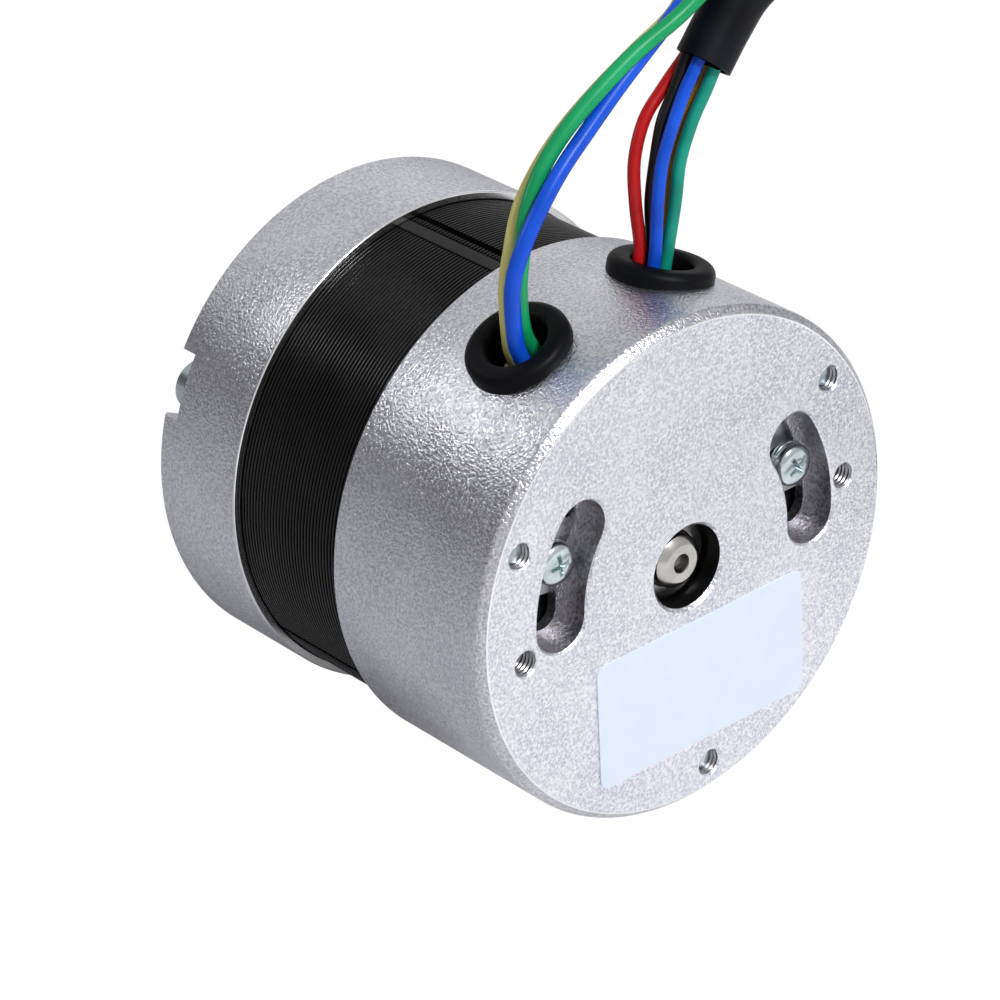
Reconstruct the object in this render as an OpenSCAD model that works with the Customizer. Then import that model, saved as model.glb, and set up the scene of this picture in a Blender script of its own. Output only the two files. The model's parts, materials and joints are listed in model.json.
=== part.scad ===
// Brushless motor with a square-cut round body, shaft along Y, output end towards -Y, +Z up.
// The origin is the middle of the front mounting face. Inside axial() a height is a distance
// behind that face, and every angle is counted from +X towards +Z.

/* [Body] */
// outside diameter of the rear end cap
body_diameter = 57; // [54:0.5:66]
// length of the body from the front mounting face to the rear face
body_length = 54; // [53:0.5:75]
// how much smaller in diameter the front end cap is than the rear one
front_cap_step = 0.4; // [0:0.1:1]
// thickness of the side walls of both end caps
side_wall = 2.9; // [2.2:0.1:3.4]
// height of the rim that each end cap holds round the stack
rim_height = 1.2; // [0.8:0.1:1.8]
// depth over which each end cap overlaps the stack
register_depth = 2; // [1:0.1:3]
// bevel round the outer edges of the end caps
rim_bevel = 0.9; // [0.3:0.1:1.1]

/* [Front end cap] */
// length of the front end cap
front_cap_length = 13.7; // [13:0.1:18]
// thickness of the front wall
front_wall = 4.5; // [4:0.1:5.5]
// diameter of the centring pilot
pilot_diameter = 25; // [24:0.5:30]
// height of the centring pilot
pilot_height = 2; // [1:0.1:3]
// diameter of the hole round the shaft
front_hole_diameter = 14; // [12:0.5:18]
// diameter of the circle of mounting holes
mount_circle = 36; // [34:0.5:40]
// drill diameter of the mounting holes
mount_drill = 3.3; // [2.5:0.1:3.6]
// width of the three notches for the bolt heads
notch_width = 7.5; // [6.5:0.1:9]
// depth of the three notches
notch_depth = 3; // [2.6:0.1:3.4]

/* [Rear end cap] */
// length of the rear end cap
rear_cap_length = 23.3; // [23:0.1:30]
// thickness of the rear wall
rear_wall = 4.4; // [4.2:0.1:5]
// diameter of the hole that shows the rear bearing
rear_hole_diameter = 9.4; // [8.8:0.1:11]
// distance of the two empty tapped holes from the outside of the body
tapped_inset = 5.9; // [5.5:0.1:6.3]
// drill diameter of all tapped holes in the rear cap
thread_drill = 2.5; // [2:0.1:2.7]
// bevel at the mouths of the holes in the rear face
mouth_bevel = 0.25; // [0.1:0.05:0.4]
// bearing boss inside the cap, depth below the inner face of the wall
rear_boss_depth = 3.8; // [3.6:0.1:4.2]

/* [Timing slots] */
// how far the middle line of both slots lies inside the circle of through bolts
slot_inset = 7.4; // [7:0.1:7.7]
// width of the wide upper part of a slot
slot_width = 6.5; // [6:0.1:7]
// half of the angle that the middle line covers
slot_half_angle = 16.6; // [15:0.1:18]
// depth of the ledge that the screws clamp on
ledge_depth = 3.2; // [3:0.1:3.4]
// width of the narrow part of a slot
slot_throat = 3.9; // [3.4:0.1:4.1]
// angle of the first slot
slot_angle_a = 23.7; // [22:0.1:25]
// angle of the second slot
slot_angle_b = 171.3; // [170:0.1:173]
// angle of the first timing screw
screw_angle_a = 26.3; // [25:0.1:27]
// angle of the second timing screw
screw_angle_b = 169.5; // [168:0.1:171]

/* [Fasteners] */
// distance of the through bolts from the outside of the body
bolt_inset = 3.5; // [3.3:0.1:3.7]
// diameter of the plain shank of a through bolt
bolt_shank = 2.9; // [2.6:0.1:3]
// diameter of the head of a through bolt
bolt_head_diameter = 5.6; // [5:0.1:6]
// height of the head of a through bolt
bolt_head_height = 2.1; // [1.8:0.1:2.4]
// how far the bolt ends stay below the rear face
bolt_end_depth = 1; // [0.5:0.1:2]
// diameter of a timing screw head
timing_head_diameter = 4.7; // [4.4:0.1:5.2]
// height of a timing screw head
timing_head_height = 1.5; // [1.2:0.1:1.8]
// thickness of the lock washer under it
lock_washer_thickness = 0.5; // [0.3:0.1:0.8]
// thickness of the clamp plate under each slot
clamp_plate_thickness = 1; // [0.8:0.1:1.2]

/* [Stator] */
// air gap between the magnets and the stator
air_gap = 0.5; // [0.3:0.05:0.7]
// width of a tooth
tooth_width = 6.5; // [6:0.1:6.9]
// thickness of the iron ring outside the slots
yoke_thickness = 4.1; // [4.05:0.01:4.15]
// thickness of the tips that reach sideways from the teeth
shoe_thickness = 1.5; // [1.2:0.1:1.55]
// half of the angle that a tooth tip covers
shoe_half_angle = 24.5; // [22:0.5:26]
// width of the three welded strips along the stack
cleat_width = 1.6; // [1.2:0.1:2]
// thickness of the insulating end plates
insulator_plate = 1; // [0.8:0.1:1.2]
// how far the coils reach over the stack at each end
coil_overhang = 5.4; // [5:0.1:5.6]
// gap between the coils and the tooth tips
coil_tip_gap = 0.1; // [0.05:0.05:0.3]
// gap between the coils and the bottom of the slots
coil_back_gap = 1.6; // [1.5:0.1:2.2]
// half of the width of a coil
coil_half_width = 8.2; // [7.6:0.1:8.3]

/* [Rotor] */
// outside diameter of the magnet ring
magnet_diameter = 30; // [29.6:0.1:30.1]
// radial thickness of the magnets
magnet_thickness = 3; // [2.5:0.1:3.5]
// how far the magnets reach behind the iron of the rotor
magnet_reach = 2.8; // [2.4:0.1:3]
// gap between neighbouring magnets, as an angle
magnet_gap_angle = 4; // [2:0.5:8]

/* [Shaft] */
// diameter of the output shaft
shaft_diameter = 8; // [7.6:0.1:8.4]
// length of the shaft in front of the mounting face
shaft_reach = 21; // [18:0.5:30]
// length of the flat on the shaft
flat_length = 15; // [10:0.5:17]
// depth of the flat
flat_depth = 0.5; // [0.3:0.1:1]
// diameter of the thick middle part of the shaft
shaft_middle_diameter = 10; // [9.6:0.1:10.4]
// diameter of the shaft in the rear bearing
rear_journal_diameter = 6; // [5.7:0.1:6.3]
// how far the rear end of the shaft stays below the rear face
shaft_end_depth = 1.1; // [0.6:0.1:2]

/* [Bearings] */
// outside diameter of the front bearing
front_bearing_diameter = 22; // [21.6:0.1:22.4]
// width of the front bearing
front_bearing_width = 7; // [6.9:0.05:7.1]
// ball diameter of the front bearing
front_ball = 3.97; // [3.8:0.01:4]
// outside diameter of the rear bearing
rear_bearing_diameter = 15; // [14.8:0.1:15.2]
// width of the rear bearing
rear_bearing_width = 5; // [4.9:0.05:5.1]
// ball diameter of the rear bearing
rear_ball = 2.78; // [2.6:0.01:2.8]
// thickness of the wave washer when it is fitted
wave_height = 0.5; // [0.45:0.05:0.6]

/* [Timing sensor ring] */
// thickness of the ring that carries the sensor board
carrier_thickness = 3.2; // [3:0.1:3.3]
// thickness of the sensor board
board_thickness = 1.6; // [1.4:0.1:1.7]
// gap between the edge of the sensor board and the terminal block
board_gap = 1.4; // [1.2:0.1:1.6]
// how far the three sensors sit inside the rim of the magnets
sensor_inset = 2; // [1.8:0.1:2.2]
// width of a sensor
sensor_width = 4; // [3.6:0.1:4.2]
// height of a sensor
sensor_height = 2.4; // [2.2:0.1:2.6]

/* [Leads] */
// outside diameter of the three phase leads
phase_lead_diameter = 1.75; // [1.6:0.05:1.8]
// outside diameter of the five sensor leads
sensor_lead_diameter = 1.4; // [1.2:0.05:1.45]
// outside diameter of the black sleeve round the sensor leads
sleeve_diameter = 6.1; // [6:0.05:6.2]
// distance of the lead holes from the rear face
lead_hole_depth = 11.3; // [11.2:0.1:11.6]
// diameter of the flange of a grommet
grommet_flange = 11.4; // [11:0.1:12]
// how far a grommet stands out of the cap
grommet_proud = 1.5; // [1.2:0.1:2]
// diameter of the hole through a grommet
grommet_bore = 6.6; // [6.4:0.1:7]

/* [Label] */
// length of the label on the rear face
label_length = 29.3; // [20:0.1:30]
// height of the label
label_height = 14.9; // [10:0.1:15]
// thickness of the label
label_thickness = 0.12; // [0.08:0.01:0.2]

/* [Hidden] */
$fn = 64;

// clearances
running_clearance = 0.03;
bolt_clearance = 0.4;
cage_clearance = 0.35;
groove_clearance = 0.045;

cap_radius = body_diameter / 2;
front_radius = cap_radius - front_cap_step / 2;
stack_radius = cap_radius - rim_height;
register_radius = stack_radius + running_clearance;
cap_inner = cap_radius - side_wall;
stack_front = front_cap_length - register_depth;
stack_rear = body_length - rear_cap_length + register_depth;
stack_middle = (stack_front + stack_rear) / 2;
stack_half = (stack_rear - stack_front) / 2;
stator_bore = magnet_diameter + 2 * air_gap;
slot_bottom_radius = stack_radius - yoke_thickness;
bolt_radius = cap_radius - bolt_inset;
slot_radius = bolt_radius - slot_inset;
tapped_radius = cap_radius - tapped_inset;
rear_inner_face = body_length - rear_wall;
ledge_height = body_length - ledge_depth;

bolt_angles = [30, 150, 270];
tooth_angles = [30, 90, 150, 210, 270, 330];
cleat_angles = [88.8, 208.8, 328.8];
groove_angles = [93.3, 213.3, 333.3];
tapped_angles = [0, 180];
slot_angles = [slot_angle_a, slot_angle_b];
screw_angles = [screw_angle_a, screw_angle_b];
phase_grommet_angle = 70;
sensor_grommet_angle = 110;

// the teeth sink a little into the ring, and end before the bolt holes
tooth_root = slot_bottom_radius + 0.08;
tooth_front = stator_bore / 2 + 0.4;

// welded strips and grooves along the stack
cleat_seat = stack_radius - 0.55;
cleat_play = 0.01;
groove_bottom = stack_radius - 0.5;
groove_mouth = stack_radius + 0.2;
groove_half = 0.5;

bolt_hole = bolt_shank + bolt_clearance;
boss_radius = 2.9;
boss_gap = 0.15;
bolt_head_seat = notch_depth;
thread_shorter = 0.02;
end_overlap = 0.02;

// bearings: pitch and land radii follow from bore, outside diameter and ball size
front_pitch = (shaft_diameter + front_bearing_diameter) / 4;
rear_pitch = (rear_journal_diameter + rear_bearing_diameter) / 4;
land_share = 0.63;
front_inner_land = front_pitch - front_ball / 2 * land_share;
front_outer_land = front_pitch + front_ball / 2 * land_share;
rear_inner_land = rear_pitch - rear_ball / 2 * 0.705;
rear_outer_land = rear_pitch + rear_ball / 2 * 0.685;
ball_count = 7;
ring_edge = 0.3;
seal_step = 0.6;
front_seat_bottom = 2;
front_bearing_front = front_seat_bottom + wave_height;
front_bearing_rear = front_bearing_front + front_bearing_width;
front_bearing_middle = (front_bearing_front + front_bearing_rear) / 2;
front_boss_radius = front_bearing_diameter / 2 + 2.5;
rear_bearing_rear = body_length - 2.7;
rear_bearing_front = rear_bearing_rear - rear_bearing_width;
rear_bearing_middle = (rear_bearing_front + rear_bearing_rear) / 2;
rear_boss_radius = rear_bearing_diameter / 2 + 2.5;
rear_boss_front = rear_inner_face - rear_boss_depth;

// rotor
magnet_radius = magnet_diameter / 2;
rotor_core_radius = magnet_radius - magnet_thickness;
rotor_core_front = stack_front + 0.5;
rotor_core_rear = stack_rear - 0.5;
magnet_rear = rotor_core_rear + magnet_reach;
rear_shoulder_front = rear_bearing_front - 2.3;
shaft_rear = body_length - shaft_end_depth;
shaft_bevel = 0.45;
// grinding relief between the free part of the shaft and the bearing seat
relief_depth = 0.2;
relief_width = 0.6;
relief_front = -pilot_height - relief_width;

// timing parts, stacked from the wall inwards
plate_front = rear_inner_face - clamp_plate_thickness;
carrier_front = plate_front - carrier_thickness;
board_rear = carrier_front - 4.6;
board_front = board_rear - board_thickness;
carrier_bore = rear_boss_radius + 0.1;
carrier_radius = bolt_radius - boss_radius - 1.1;
post_angles = [62, 145, 220, 320];
post_ring = 16;
post_radius = 1.75;
pin_radius = 0.75;
screw_boss_radius = 2.6;
screw_boss_front = carrier_front - 2;
timing_thread = 2.5;
plate_half_angle = 15;
plate_inner = slot_radius - 3.3;
plate_outer = carrier_radius - 0.2;
washer_gap = 0.4;
washer_gap_turn = 40;
sensor_thickness = 1.6;
sensor_gap = 1;
sensor_leg = 0.4;
sensor_leg_pitch = 1.27;

// coils
coil_half_length = stack_half + coil_overhang;
coil_rear = stack_middle + coil_half_length;
coil_corner = 4.8;
coil_inner_radius = stator_bore / 2 + shoe_thickness + coil_tip_gap;
coil_outer_radius = slot_bottom_radius - coil_back_gap;
coil_window_half = tooth_width / 2 + 0.55;

// fences of the slot insulators, and the terminal block on the rear one
fence_inner = slot_bottom_radius + 0.1;
fence_outer = fence_inner + 1;
fence_height = 5.5;
inner_fence_height = 5.4;
inner_fence_half_angle = 10;
lead_height = body_length - lead_hole_depth;
block_face = slot_bottom_radius - 0.4;
block_back = block_face - 2.6;
block_half = 3.2;
block_front = coil_rear + 0.1;
block_rear = lead_height + 2.5;
foot_back = block_face - 0.2;
foot_reach = 1.4;
foot_half = 2.6;
foot_front = stack_rear + 4.6;

// sensor board and its plug
board_radius = block_back - board_gap;
sensor_radius = magnet_radius - sensor_inset;
plug_angle = sensor_grommet_angle;
plug_face = board_radius - 0.8;
plug_depth = 3.4;
plug_half = 4.6;
plug_height = 3.4;

// leads
floor_level = -cap_radius;
wall_hole = 9;
grommet_inner_flange = 11;
grommet_round = 1.1;

cast_silver = [0.78, 0.79, 0.82];
steel = [0.72, 0.73, 0.75];
zinc = [0.82, 0.84, 0.86];
iron = [0.36, 0.36, 0.38];
copper = [0.76, 0.44, 0.24];
rubber = [0.1, 0.1, 0.11];
plastic = [0.16, 0.16, 0.18];
white_plastic = [0.88, 0.87, 0.83];

// helpers

// lays local heights along Y
module axial() {
    rotate([-90, 0, 0]) children();
}

// moves to a radius at an angle counted from +X towards +Z
module at_angle(angle, radius = 0) {
    rotate([0, 0, -angle]) translate([radius, 0, 0]) children();
}

module disc(radius, low, high) {
    translate([0, 0, low]) cylinder(r = radius, h = high - low);
}

module ring(outer, inner, low, high) {
    difference() {
        disc(outer, low, high);
        disc(inner, low - 1, high + 1);
    }
}

// piece of a ring that covers an angle on both sides of a middle angle
module sector(inner, outer, low, high, middle, half) {
    rotate([0, 0, -middle - half]) rotate_extrude(angle = 2 * half)
        translate([inner, low]) square([outer - inner, high - low]);
}

// curved slot, with round ends a hair wider than its sides so that they cross cleanly
module arc_slot(radius, width, half, low, high, middle) {
    sector(radius - width / 2, radius + width / 2, low, high, middle, half);
    for (side = [-1, 1])
        at_angle(middle + side * half, radius) disc(width / 2 + end_overlap, low, high);
}

// round bar that points outwards along a radius
module outward(radius, from, to, height) {
    translate([from, 0, height]) rotate([0, 90, 0]) cylinder(r = radius, h = to - from);
}

// slab that faces outwards, with its four corners rounded
module rounded_slab(from, to, half_width, half_height, corner) {
    translate([from, corner - half_width, -half_height])
        cube([to - from, 2 * (half_width - corner), 2 * half_height]);
    translate([from, -half_width, corner - half_height])
        cube([to - from, 2 * half_width, 2 * (half_height - corner)]);
    for (across = [-1, 1], along = [-1, 1])
        translate([from, across * (half_width - corner), along * (half_height - corner)])
            rotate([0, 90, 0]) cylinder(r = corner, h = to - from);
}

// end caps

// columns for the through bolts, which end inside the side wall
module bolt_bosses(low, high) intersection() {
    disc(cap_inner + 0.6, low, high);
    for (angle = bolt_angles)
        at_angle(angle, bolt_radius) disc(boss_radius, low - 1, high + 1);
}

module front_end_cap() color(cast_silver) axial() difference() {
    union() {
        rotate_extrude() polygon([
            [front_hole_diameter / 2, -pilot_height],
            [pilot_diameter / 2, -pilot_height],
            [pilot_diameter / 2, 0],
            [front_radius - rim_bevel, 0],
            [front_radius, rim_bevel],
            [front_radius, front_cap_length],
            [register_radius, front_cap_length],
            [register_radius, stack_front],
            [cap_inner, stack_front],
            [cap_inner, front_wall],
            [front_boss_radius, front_wall],
            [front_boss_radius, front_bearing_rear + 0.5],
            [front_bearing_diameter / 2, front_bearing_rear + 0.5],
            [front_bearing_diameter / 2, front_seat_bottom],
            [front_hole_diameter / 2, front_seat_bottom]]);
        bolt_bosses(front_wall - 0.5, stack_front);
    }
    for (angle = bolt_angles) at_angle(angle, bolt_radius) {
        disc(bolt_hole / 2, -1, stack_front + 1);
        disc(notch_width / 2, -1, notch_depth);
        translate([0, -notch_width / 2, -1]) cube([10, notch_width, notch_depth + 1]);
    }
    for (corner = [45, 135, 225, 315])
        at_angle(corner, mount_circle / 2) disc(mount_drill / 2, -1, front_wall + 1);
}

module bevelled_hole(diameter, low) {
    disc(diameter / 2, low, body_length + 1);
    translate([0, 0, body_length - mouth_bevel])
        cylinder(r1 = diameter / 2, r2 = diameter / 2 + 2 * mouth_bevel, h = 2 * mouth_bevel);
}

module rear_end_cap() color(cast_silver) axial() difference() {
    union() {
        rotate_extrude() polygon([
            [register_radius, stack_rear - register_depth],
            [cap_radius, stack_rear - register_depth],
            [cap_radius, body_length - rim_bevel],
            [cap_radius - rim_bevel, body_length],
            [rear_hole_diameter / 2 + mouth_bevel, body_length],
            [rear_hole_diameter / 2, body_length - mouth_bevel],
            [rear_hole_diameter / 2, rear_bearing_rear],
            [rear_bearing_diameter / 2, rear_bearing_rear],
            [rear_bearing_diameter / 2, rear_boss_front],
            [rear_boss_radius, rear_boss_front],
            [rear_boss_radius, rear_inner_face],
            [cap_inner, rear_inner_face],
            [cap_inner, stack_rear],
            [register_radius, stack_rear]]);
        bolt_bosses(stack_rear, rear_inner_face + 0.5);
    }
    for (angle = bolt_angles)
        at_angle(angle, bolt_radius) bevelled_hole(thread_drill, stack_rear - 1);
    for (angle = tapped_angles)
        at_angle(angle, tapped_radius) bevelled_hole(thread_drill, rear_inner_face - 1);
    for (middle = slot_angles) {
        arc_slot(slot_radius, slot_width, slot_half_angle, ledge_height, body_length + 1, middle);
        arc_slot(slot_radius, slot_throat, slot_half_angle, rear_inner_face - 1, ledge_height + 1, middle);
    }
    for (angle = [phase_grommet_angle, sensor_grommet_angle])
        at_angle(angle) outward(wall_hole / 2, cap_inner - 2, cap_radius + 1, lead_height);
}

// stator

// outline of a sheet: a ring with six teeth, whose tips reach sideways along the bore
module sheet_outline(outer, shoe_half) {
    difference() {
        circle(r = outer);
        circle(r = slot_bottom_radius);
    }
    for (angle = tooth_angles) at_angle(angle) {
        translate([tooth_front, -tooth_width / 2]) square([tooth_root - tooth_front, tooth_width]);
        intersection() {
            difference() {
                circle(r = stator_bore / 2 + shoe_thickness);
                circle(r = stator_bore / 2);
            }
            polygon(cap_radius * [[0, 0], [1, -tan(shoe_half)], [1, tan(shoe_half)]]);
        }
    }
}

module stator_core() color(iron) axial() difference() {
    translate([0, 0, stack_front]) linear_extrude(stack_rear - stack_front)
        sheet_outline(stack_radius, shoe_half_angle);
    for (angle = bolt_angles)
        at_angle(angle, bolt_radius) disc(bolt_hole / 2, stack_front - 1, stack_rear + 1);
    for (angle = cleat_angles)
        at_angle(angle) translate([cleat_seat, -cleat_width / 2 - cleat_play, stack_front - 1])
            cube([2, cleat_width + 2 * cleat_play, stack_rear - stack_front + 2]);
    for (angle = groove_angles)
        at_angle(angle) translate([0, 0, stack_front - 1]) linear_extrude(stack_rear - stack_front + 2)
            polygon([[groove_bottom, 0], [groove_mouth, -groove_half], [groove_mouth, groove_half]]);
}

module core_cleats() color(iron) axial() intersection() {
    disc(stack_radius, stack_front, stack_rear, $fn = 360);
    for (angle = cleat_angles)
        at_angle(angle) translate([cleat_seat, -cleat_width / 2, stack_front])
            cube([2, cleat_width, stack_rear - stack_front]);
}

// end plate with the fences that hold the windings, for heights counted away from the stack
module insulator_body() difference() {
    union() {
        linear_extrude(insulator_plate) sheet_outline(fence_outer, shoe_half_angle - 2);
        ring(fence_outer - 0.1, fence_inner, insulator_plate / 2, fence_height);
        for (angle = tooth_angles)
            sector(stator_bore / 2 + 0.5, stator_bore / 2 + shoe_thickness - 0.1, insulator_plate / 2,
                inner_fence_height, angle, inner_fence_half_angle);
    }
    for (angle = bolt_angles)
        at_angle(angle, bolt_radius) disc(boss_radius + boss_gap, -1, fence_height + 1);
}

module front_slot_insulator() color(white_plastic) axial()
    translate([0, 0, stack_front]) mirror([0, 0, 1]) insulator_body();

module rear_slot_insulator() color(white_plastic) axial() {
    translate([0, 0, stack_rear]) insulator_body();
    at_angle(phase_grommet_angle) {
        translate([block_back, -block_half, block_front])
            cube([block_face - block_back, 2 * block_half, block_rear - block_front]);
        translate([foot_back, -foot_half, foot_front])
            cube([foot_reach, 2 * foot_half, block_front + 1 - foot_front]);
    }
}

module coil(angle) axial() at_angle(angle) translate([0, 0, stack_middle]) difference() {
    rounded_slab(coil_inner_radius, coil_outer_radius, coil_half_width, coil_half_length, coil_corner);
    rounded_slab(coil_inner_radius - 1, coil_outer_radius + 1, coil_window_half,
        stack_half + insulator_plate, 0.6);
}

module phase_u_coils() color(copper) {
    coil(30);
    coil(210);
}

module phase_v_coils() color(copper) {
    coil(90);
    coil(270);
}

module phase_w_coils() color(copper) {
    coil(150);
    coil(330);
}

// fasteners

module cross_recess(top, size) {
    for (turn = [0, 90]) rotate([0, 0, turn])
        translate([-size / 2, -size / 9, top - size * 0.4]) cube([size, size * 2 / 9, size]);
}

module through_bolts() color(steel) axial() for (angle = bolt_angles) at_angle(angle, bolt_radius) {
    difference() {
        translate([0, 0, bolt_head_seat]) mirror([0, 0, 1]) disc(bolt_head_diameter / 2, 0, bolt_head_height);
        translate([0, 0, bolt_head_seat]) mirror([0, 0, 1]) cross_recess(bolt_head_height, 2.8);
    }
    disc(bolt_shank / 2, bolt_head_seat - 0.5, stack_rear);
    disc(thread_drill / 2 - thread_shorter, stack_rear - 0.5, body_length - bolt_end_depth);
}

module timing_plates() color(zinc) axial() difference() {
    for (angle = screw_angles)
        sector(plate_inner, plate_outer, plate_front, rear_inner_face, angle, plate_half_angle);
    for (angle = screw_angles)
        at_angle(angle, slot_radius) disc(timing_thread / 2 + 0.15, plate_front - 1, rear_inner_face + 1);
}

module timing_lock_washers() color(zinc) axial() for (angle = screw_angles) difference() {
    at_angle(angle, slot_radius)
        ring(timing_head_diameter / 2 + 0.1, timing_thread / 2 + 0.15, ledge_height,
            ledge_height + lock_washer_thickness);
    at_angle(angle, slot_radius) rotate([0, 0, washer_gap_turn])
        translate([0, -washer_gap / 2, ledge_height - 1])
            cube([timing_head_diameter, washer_gap, lock_washer_thickness + 2]);
}

module timing_screws() color(zinc) axial() for (angle = screw_angles) at_angle(angle, slot_radius) {
    head_seat = ledge_height + lock_washer_thickness;
    difference() {
        union() {
            disc(timing_head_diameter / 2, head_seat, head_seat + timing_head_height * 0.6);
            intersection() {
                disc(timing_head_diameter / 2, head_seat, head_seat + timing_head_height);
                translate([0, 0, head_seat + timing_head_height - 4.6]) sphere(r = 4.6, $fn = 96);
            }
        }
        cross_recess(head_seat + timing_head_height, 2.7);
    }
    disc(timing_thread / 2, screw_boss_front + 0.4, head_seat + 0.2);
}

// bearings

module outer_ring(outer, land, pitch, ball, width, seal_outer) rotate_extrude() difference() {
    translate([land, -width / 2]) square([outer - land, width]);
    translate([pitch, 0]) circle(r = ball / 2 + groove_clearance);
    for (side = [-1, 1])
        translate([land - 1, side * width / 2 - seal_step]) square([seal_outer - land + 1, 2 * seal_step]);
}

module inner_ring(bore, land, pitch, ball, width) rotate_extrude() difference() {
    polygon([
        [bore + ring_edge, -width / 2], [land, -width / 2], [land, width / 2],
        [bore + ring_edge, width / 2], [bore, width / 2 - ring_edge], [bore, ring_edge - width / 2]]);
    translate([pitch, 0]) circle(r = ball / 2 + groove_clearance);
}

module ball_set(pitch, ball) {
    for (index = [0 : ball_count - 1])
        rotate([0, 0, index * 360 / ball_count]) translate([pitch, 0, 0]) sphere(r = ball / 2);
}

// crown that keeps the balls apart, with a round pocket for each ball
module cage(pitch, ball, inner_land, outer_land) difference() {
    ring(outer_land - cage_clearance, inner_land + cage_clearance, -ball * 0.33, ball * 0.55);
    ball_set(pitch, ball + 2 * groove_clearance + 0.1);
}

module seals(inner, outer, width, thickness) {
    for (side = [-1, 1])
        translate([0, 0, side * (width / 2 - seal_step + thickness / 2)])
            ring(outer, inner, -thickness / 2, thickness / 2);
}

front_seal_outer = front_outer_land + 0.6;
rear_seal_outer = rear_outer_land + 0.45;

module front_bearing_outer_ring() color(steel) axial() translate([0, 0, front_bearing_middle])
    outer_ring(front_bearing_diameter / 2, front_outer_land, front_pitch, front_ball, front_bearing_width,
        front_seal_outer);

module front_bearing_inner_ring() color(steel) axial() translate([0, 0, front_bearing_middle])
    inner_ring(shaft_diameter / 2, front_inner_land, front_pitch, front_ball, front_bearing_width);

module front_bearing_balls() color(steel) axial() translate([0, 0, front_bearing_middle])
    ball_set(front_pitch, front_ball);

module front_bearing_cage() color(zinc) axial() translate([0, 0, front_bearing_middle])
    cage(front_pitch, front_ball, front_inner_land, front_outer_land);

module front_bearing_seals() color(rubber) axial() translate([0, 0, front_bearing_middle])
    seals(front_inner_land + 0.1, front_seal_outer, front_bearing_width, 0.5);

module rear_bearing_outer_ring() color(steel) axial() translate([0, 0, rear_bearing_middle])
    outer_ring(rear_bearing_diameter / 2, rear_outer_land, rear_pitch, rear_ball, rear_bearing_width,
        rear_seal_outer);

module rear_bearing_inner_ring() color(steel) axial() translate([0, 0, rear_bearing_middle])
    inner_ring(rear_journal_diameter / 2, rear_inner_land, rear_pitch, rear_ball, rear_bearing_width);

module rear_bearing_balls() color(steel) axial() translate([0, 0, rear_bearing_middle])
    ball_set(rear_pitch, rear_ball);

module rear_bearing_cage() color(zinc) axial() translate([0, 0, rear_bearing_middle])
    cage(rear_pitch, rear_ball, rear_inner_land, rear_outer_land);

module rear_bearing_seals() color(rubber) axial() translate([0, 0, rear_bearing_middle])
    seals(rear_inner_land + 0.1, rear_seal_outer, rear_bearing_width, 0.35);

// wavy spring washer: three waves that touch the seat and the bearing in turn
wave_points = 48;
wave_metal = 0.2;
wave_inner = front_bearing_diameter / 2 - 2.6;
wave_outer = front_bearing_diameter / 2 - 0.3;

function wave_at(index) = (wave_height - wave_metal) * (0.5 - 0.5 * cos(3 * 360 * index / wave_points));

function wave_corner(index, radius, lift) = let (turn = 360 * index / wave_points)
    [radius * cos(turn), radius * sin(turn), wave_at(index) + lift];

module front_wave_washer() color(steel) axial() translate([0, 0, front_seat_bottom])
    polyhedron(
        points = [for (index = [0 : wave_points - 1]) each [
            wave_corner(index, wave_inner, 0), wave_corner(index, wave_outer, 0),
            wave_corner(index, wave_outer, wave_metal), wave_corner(index, wave_inner, wave_metal)]],
        faces = [for (index = [0 : wave_points - 1], side = [0 : 3])
            let (a = index * 4 + side, b = index * 4 + (side + 1) % 4,
                c = ((index + 1) % wave_points) * 4 + (side + 1) % 4,
                d = ((index + 1) % wave_points) * 4 + side)
            each [[a, c, b], [a, d, c]]]);

// rotor

module motor_shaft() color(steel) axial() difference() {
    rotate_extrude() polygon([
        [0, -shaft_reach],
        [shaft_diameter / 2 - shaft_bevel, -shaft_reach],
        [shaft_diameter / 2, shaft_bevel - shaft_reach],
        [shaft_diameter / 2, relief_front],
        [shaft_diameter / 2 - relief_depth, relief_front],
        [shaft_diameter / 2 - relief_depth, relief_front + relief_width],
        [shaft_diameter / 2, relief_front + relief_width],
        [shaft_diameter / 2, front_bearing_rear],
        [shaft_middle_diameter / 2, front_bearing_rear],
        [shaft_middle_diameter / 2, rear_shoulder_front],
        [shaft_diameter / 2, rear_shoulder_front],
        [shaft_diameter / 2, rear_bearing_front],
        [rear_journal_diameter / 2, rear_bearing_front],
        [rear_journal_diameter / 2, shaft_rear - shaft_bevel],
        [rear_journal_diameter / 2 - shaft_bevel, shaft_rear],
        [0, shaft_rear]]);
    translate([shaft_diameter / 2 - flat_depth, -10, -shaft_reach - 1]) cube([10, 20, flat_length + 1]);
    translate([0, 0, shaft_rear - 1.1]) cylinder(r1 = 0.3, r2 = 1.1, h = 1.12);
    translate([0, 0, -shaft_reach - 0.02]) cylinder(r1 = 1.1, r2 = 0.3, h = 1.12);
}

module rotor_core() color(iron) axial()
    ring(rotor_core_radius, shaft_middle_diameter / 2, rotor_core_front, rotor_core_rear);

module rotor_magnets() color([0.3, 0.31, 0.33]) axial() for (angle = [45, 135, 225, 315])
    sector(rotor_core_radius, magnet_radius, rotor_core_front - 0.5, magnet_rear, angle,
        45 - magnet_gap_angle / 2);

// timing sensor ring

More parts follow.
